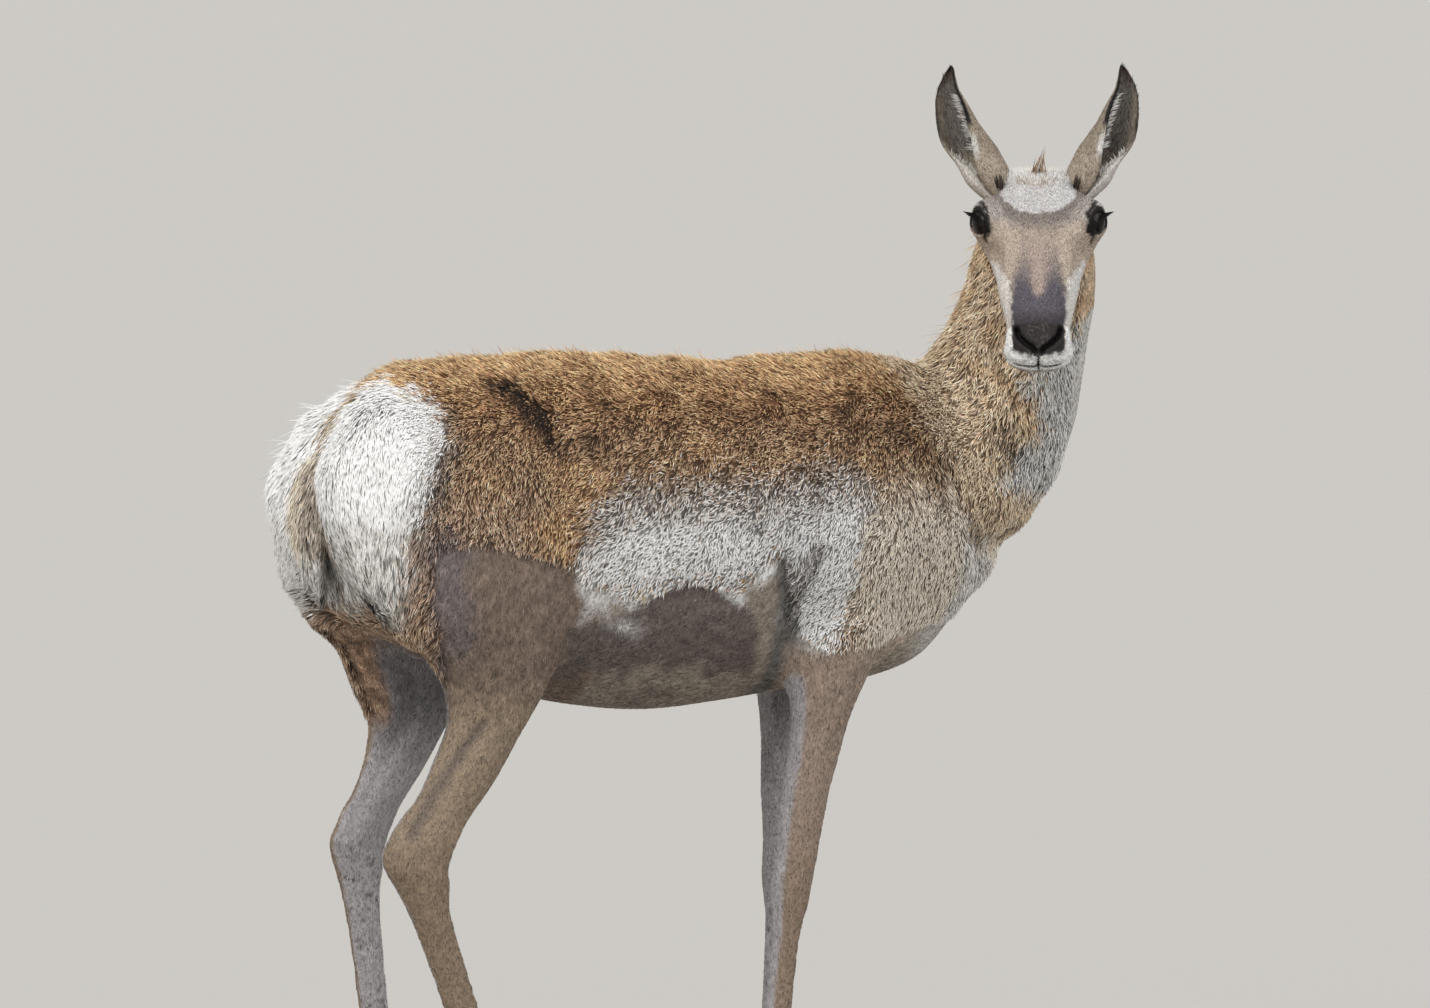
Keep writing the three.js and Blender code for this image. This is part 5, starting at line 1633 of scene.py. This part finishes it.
def spread_tuft(count, seed):
    """Roots' places in a round patch of radius 1, and small random leanings."""
    rng = np.random.default_rng(seed)
    angle, far = rng.uniform(0, 2 * math.pi, count), np.sqrt(rng.random(count))
    return np.column_stack([far * np.cos(angle), far * np.sin(angle)]), rng.normal(size=(count, 3))


def head_tuft(name, roots, tips, colour, width, bow):
    """Free strands from roots to tips on the head, bowed out along a direction."""
    way, bow = tips - roots, np.broadcast_to(np.asarray(bow, float), roots.shape)
    length = np.linalg.norm(way, axis=1)
    leave, arrive = unit(way) + bow, unit(way) - bow
    out = np.broadcast_to([1.0, 0.1, 0.2], roots.shape)
    places = fitted(HEAD_AXIS.chart(from_head(roots)))
    width = np.full(len(roots), width)
    colour = uneven(np.broadcast_to(HAIR[colour], (len(roots), 3, 3)), len(roots), 0.2)
    made = strands(GUARD, roots, leave, arrive, out, length, width, colour, places)
    coat_piece(name, placed_on_head(made))


def crown_tuft():
    spots, lean = spread_tuft(CROWN_TUFT["hairs"], 401)
    reach = CROWN_TUFT["reach"]
    flat = np.column_stack([spots[:, 0] * reach[0], spots[:, 1] * reach[1], 0 * lean[:, 0]])
    roots = np.array(CROWN_TUFT["root"]) + flat
    share = 1 - 0.45 * np.random.default_rng(402).random(len(roots)) ** 1.5
    tips = mix(roots, np.array(CROWN_TUFT["peak"]) + lean * [2, 2.2, 3], share[:, None])
    head_tuft("coat_crown_tuft", roots, tips, "crown", 0.8, [0, 0, 0.08])


def horn_bud(name, side):
    spots, lean = spread_tuft(HORN_BUD["hairs"], 410 + side)
    roots = (np.array(HORN_BUD["at"]) + np.column_stack([spots * 4, 0 * lean[:, 0]])) * [1, side, 1]
    tips = roots + (np.array([-5, 1.5, HORN_BUD["length"]]) + lean * [1.5, 1.5, 2]) * [1, side, 1]
    head_tuft(f"coat_horn_bud_{name}", roots, tips, "ear tip", 1.2, [0.1, 0, 0])


# The point, in the eye's own frame, to which the upper lashes draw together
LASHES = {"hairs": 34, "reach": 9.0, "point": [30, 12, 8]}


def lashes(name, side):
    """Dark lashes along the upper lid of an eye."""
    count = LASHES["hairs"]
    turn = np.linspace(0.12, 0.88, count) * math.pi
    left, up = EYELIDS["half"] * np.cos(turn), EYELIDS["above"] * np.sin(turn) ** 1.25
    out = np.sqrt(np.maximum((EYE_RADIUS + LID) ** 2 - left**2 - up**2, 0))
    spots = np.column_stack([out, left, up])
    length = LASHES["reach"] * np.random.default_rng(421 + side).uniform(0.8, 1.15, count)
    way = unit(np.column_stack([np.full(count, 1.0), left / 18, np.full(count, 0.12)]))
    draw_in = 0.8 * ramp(left, -8, 4)
    tips = mix(spots + way * length[:, None], np.array(LASHES["point"]), draw_in[:, None])
    roots, tips = from_eye(spots * 0.97, side), from_eye(tips, side)
    head_tuft(f"coat_lashes_{name}", roots, tips, "black", 1.1, [0, 0, -0.12])


def ear_hair(name, side):
    points, faces = EARS[name]
    normals = normals_of(points, faces)
    roots, out = spread(points, faces, normals, EAR_SPACING, 300 + side)
    shown = ~buried(from_head(roots), head_tree, 1.0) & ~buried(from_head(roots), body_tree, 1.0)
    roots, out = roots[shown], out[shown]
    part, turn, inner = ear_place(roots, side)
    colour = uneven(ear_colour(part, turn, inner, 0.015, 320 + side), 325 + side, 0.06)
    along, medial = (ear_frame(side)[:, k] * [1, side, 1] for k in (0, 1))
    fringe = inner * ramp(turn, 0.45, 0.7) * ramp(part, 0.84, 0.74) * ramp(part, 0.32, 0.42)
    lie = along - medial * 0.9 * fringe[:, None]
    length = 4.5 + 2.5 * inner * ramp(part, 0.9, 0.6) + 4 * fringe
    chart = np.column_stack([turn, part + inner * 1.2])
    made = grown(SHORT, roots, out, lie, length, 0.18 + 0.18 * inner, 310 + side, colour, chart, 0.95)
    coat_piece(f"coat_ear_{name}", placed_on_head(made))


# Long white hairs lean into the ear from its inner rim, and others hang below its outer rim. Each row
# says which way they lean, their turn round the roll, part of the length, how many and how long.
EAR_FRINGES = [(1, 0.93, (0.36, 0.74), 150, 13.0), (-1, -0.95, (0.22, 0.42), 70, 9.0)]


def ear_fringe(name, side):
    turned = ear_frame(side).T
    roots, tips = [], []
    for number, (edge, place, (low, high), count, reach) in enumerate(EAR_FRINGES):
        rng = np.random.default_rng(430 + 5 * number + side)
        part = rng.uniform(low, high, count)
        radius, half, wall, bend = curve_of(EAR_SHAPE, part).T
        turn = np.radians(half) * (place + rng.uniform(-0.05, 0.03, count))
        inner = radius - wall * 0.5
        local = np.column_stack([EAR_LENGTH * part, inner * np.sin(turn), -inner * np.cos(turn)])
        ahead, across = rng.uniform(0.5, 1.1, count), -edge * rng.uniform(0.5, 1.1, count)
        way = np.column_stack([ahead, across, rng.uniform(-0.1, 0.5, count)])
        spots = local @ turned + EAR_ROOT
        spots[:, 1] += bend
        roots.append(spots)
        tips.append(spots + unit(way) @ turned * reach * rng.uniform(0.6, 1.15, (count, 1)))
    placed = [np.vstack(part) * [1, side, 1] for part in (roots, tips)]
    head_tuft(f"coat_ear_fringe_{name}", *placed, "fringe", 0.8, [0, 0, 0])


crown_tuft()
for side_name, side_sign in SIDE_OF.items():
    horn_bud(side_name, side_sign)
    lashes(side_name, side_sign)
    ear_hair(side_name, side_sign)
    ear_fringe(side_name, side_sign)


# Eyes
def eye_material():
    material, tree, surface = shader("eye", 0.06, 0.2)
    surface.inputs["Base Color"].default_value = (0.012, 0.009, 0.008, 1)
    tree.links.new(levelled(tree, noise_node(tree, 60, 2), 0.05, 0.09), surface.inputs["Roughness"])
    return material


eye_finish = eye_material()


def eyeball(name, side):
    rows, columns = 40, 64
    turn = 2 * math.pi * np.arange(columns) / columns
    rings = []
    for polar in math.pi * (np.arange(rows) + 0.5) / rows:
        radius = EYE_RADIUS - 0.6 + 0.5 * math.exp(-((polar / 0.5) ** 2))
        out = np.full(columns, math.cos(polar))
        around = math.sin(polar)
        rings.append(np.column_stack([out, around * np.cos(turn), around * np.sin(turn)]) * radius)
    points, faces = loft(np.array(rings))
    points = from_eye(points, side)
    piece = new_object(f"eyeball_{name}", from_head(points), outwards(points, faces), eye_finish)
    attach(piece, "root")
    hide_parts(f"eye_{name}")


for side_name, side_sign in SIDE_OF.items():
    eyeball(side_name, side_sign)


# Hooves
def hoof_material():
    material, tree, surface = shader("hoof_horn", 0.5, 0.4)
    bands = noise_node(tree, 90, 4, (0.25, 0.25, 3))
    tones = tree.nodes.new("ShaderNodeValToRGB")
    dark, pale = tones.color_ramp.elements
    dark.position, dark.color = 0.35, (0.010, 0.008, 0.008, 1)
    pale.position, pale.color = 0.7, (0.055, 0.045, 0.04, 1)
    tree.links.new(bands.outputs["Fac"], tones.inputs["Fac"])
    tree.links.new(tones.outputs["Color"], surface.inputs["Base Color"])
    raised_by(tree, surface, bands, 0.35, 0.001)
    return material


hoof_finish = hoof_material()


def claw(leg_name, side, which):
    kind, turn, bones = leg_bones(leg_name)
    foot = bones[-1]
    length = CLAW_LENGTH[kind]
    levels = [
        [0, length, 0.62, 23],
        [0.3, length * 0.94, 0.54, 24],
        [0.65, length * 0.82, 0.44, 24],
        [1, length * 0.68, 0.36, 22],
    ]
    heights = np.linspace(0, 1, 26)
    rings = []
    for high, (long, toe, wide) in zip(heights, curve_of(levels, heights)):
        ripple = 0.25 * math.sin(high * 38) - 0.5
        part = np.linspace(0, 1, CLAW_ROUND)
        outer_y = CLAW_INNER + (wide + ripple) * np.sin(math.pi * (0.06 + 0.9 * part**0.75)) ** 0.8
        flat_x = toe * length - long * (1 - np.arange(CLAW_FLAT) / CLAW_FLAT)
        forward = np.concatenate([toe * length - long * part, flat_x])
        left = side * np.concatenate([outer_y, np.full(CLAW_FLAT, CLAW_INNER)])
        top = CORONET - 0.4 + forward * 0.2
        x = foot[0] + forward * math.cos(turn) - left * math.sin(turn)
        y = foot[1] + forward * math.sin(turn) + left * math.cos(turn)
        rings.append(np.column_stack([x, y, high * top]))
    piece = new_object(f"hoof_{leg_name}_{which}", *loft(np.array(rings)), hoof_finish)
    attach(piece, "root")
    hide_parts(f"{leg_name}_claw_{which}")


for hoof_leg, (_, hoof_toe, _) in LEGS.items():
    claw(hoof_leg, -np.sign(hoof_toe), "inner")
    claw(hoof_leg, np.sign(hoof_toe), "outer")


# The studio
FLOOR_HALF = 400  # metres from its middle to its edge
SUN_WIDTH = math.radians(50)


def floor():
    material, _, surface = shader("studio_floor", 0.9, 0.2)
    surface.inputs["Base Color"].default_value = (0.5, 0.488, 0.465, 1)
    size = FLOOR_HALF
    mesh = bpy.data.meshes.new("floor")
    corners = [(-size, -size, 0), (size, -size, 0), (size, size, 0), (-size, size, 0)]
    mesh.from_pydata(corners, [], [(0, 1, 2, 3)])
    mesh.materials.append(material)
    made = bpy.data.objects.new("floor", mesh)
    bpy.context.scene.collection.objects.link(made)


def soft_light(name, place, power, colour=(1, 1, 1)):
    """Even light from far away, as wide as a large window."""
    light = bpy.data.lights.new(name, "SUN")
    light.angle = SUN_WIDTH
    light.energy = power
    light.color = colour
    made = bpy.data.objects.new(name, light)
    made.location = place
    made.rotation_mode = "QUATERNION"
    made.rotation_quaternion = (-Vector(place)).to_track_quat("-Z", "Y")
    bpy.context.scene.collection.objects.link(made)


def studio():
    world = bpy.data.worlds.new("studio")
    world.use_nodes = True
    background = world.node_tree.nodes["Background"]
    background.inputs["Color"].default_value = (0.84, 0.83, 0.82, 1)
    background.inputs["Strength"].default_value = 0.6
    bpy.context.scene.world = world
    bpy.context.scene.view_settings.view_transform = "Standard"
    soft_light("key", (-8.5, -4.6, 8.4), 2.15, (1, 0.985, 0.96))
    soft_light("fill", (6.5, -8.0, 5.5), 1.1, (0.98, 0.98, 1))
    soft_light("rim", (3.0, 8.5, 7.0), 0.4)


# The camera stands behind her right flank, level with her shoulder.
VIEW_TARGET, VIEW_DISTANCE = [94, 0, 723], 14.0
VIEW_AZIMUTH, VIEW_ELEVATION = math.radians(-29), math.radians(2.5)
VIEW_LENS, VIEW_SENSOR = 329.4, 36


def camera():
    data = bpy.data.cameras.new("camera")
    data.lens = VIEW_LENS
    data.sensor_width = VIEW_SENSOR
    data.sensor_fit = "HORIZONTAL"
    data.clip_end = 2000
    made = bpy.data.objects.new("camera", data)
    level = math.cos(VIEW_ELEVATION)
    back = Vector((math.sin(VIEW_AZIMUTH) * level, -math.cos(VIEW_AZIMUTH) * level, math.sin(VIEW_ELEVATION)))
    made.location = Vector(in_metres(VIEW_TARGET)) + back * VIEW_DISTANCE
    made.rotation_mode = "QUATERNION"
    made.rotation_quaternion = (-back).to_track_quat("-Z", "Y")
    bpy.context.scene.collection.objects.link(made)
    bpy.context.scene.camera = made


floor()
studio()
camera()
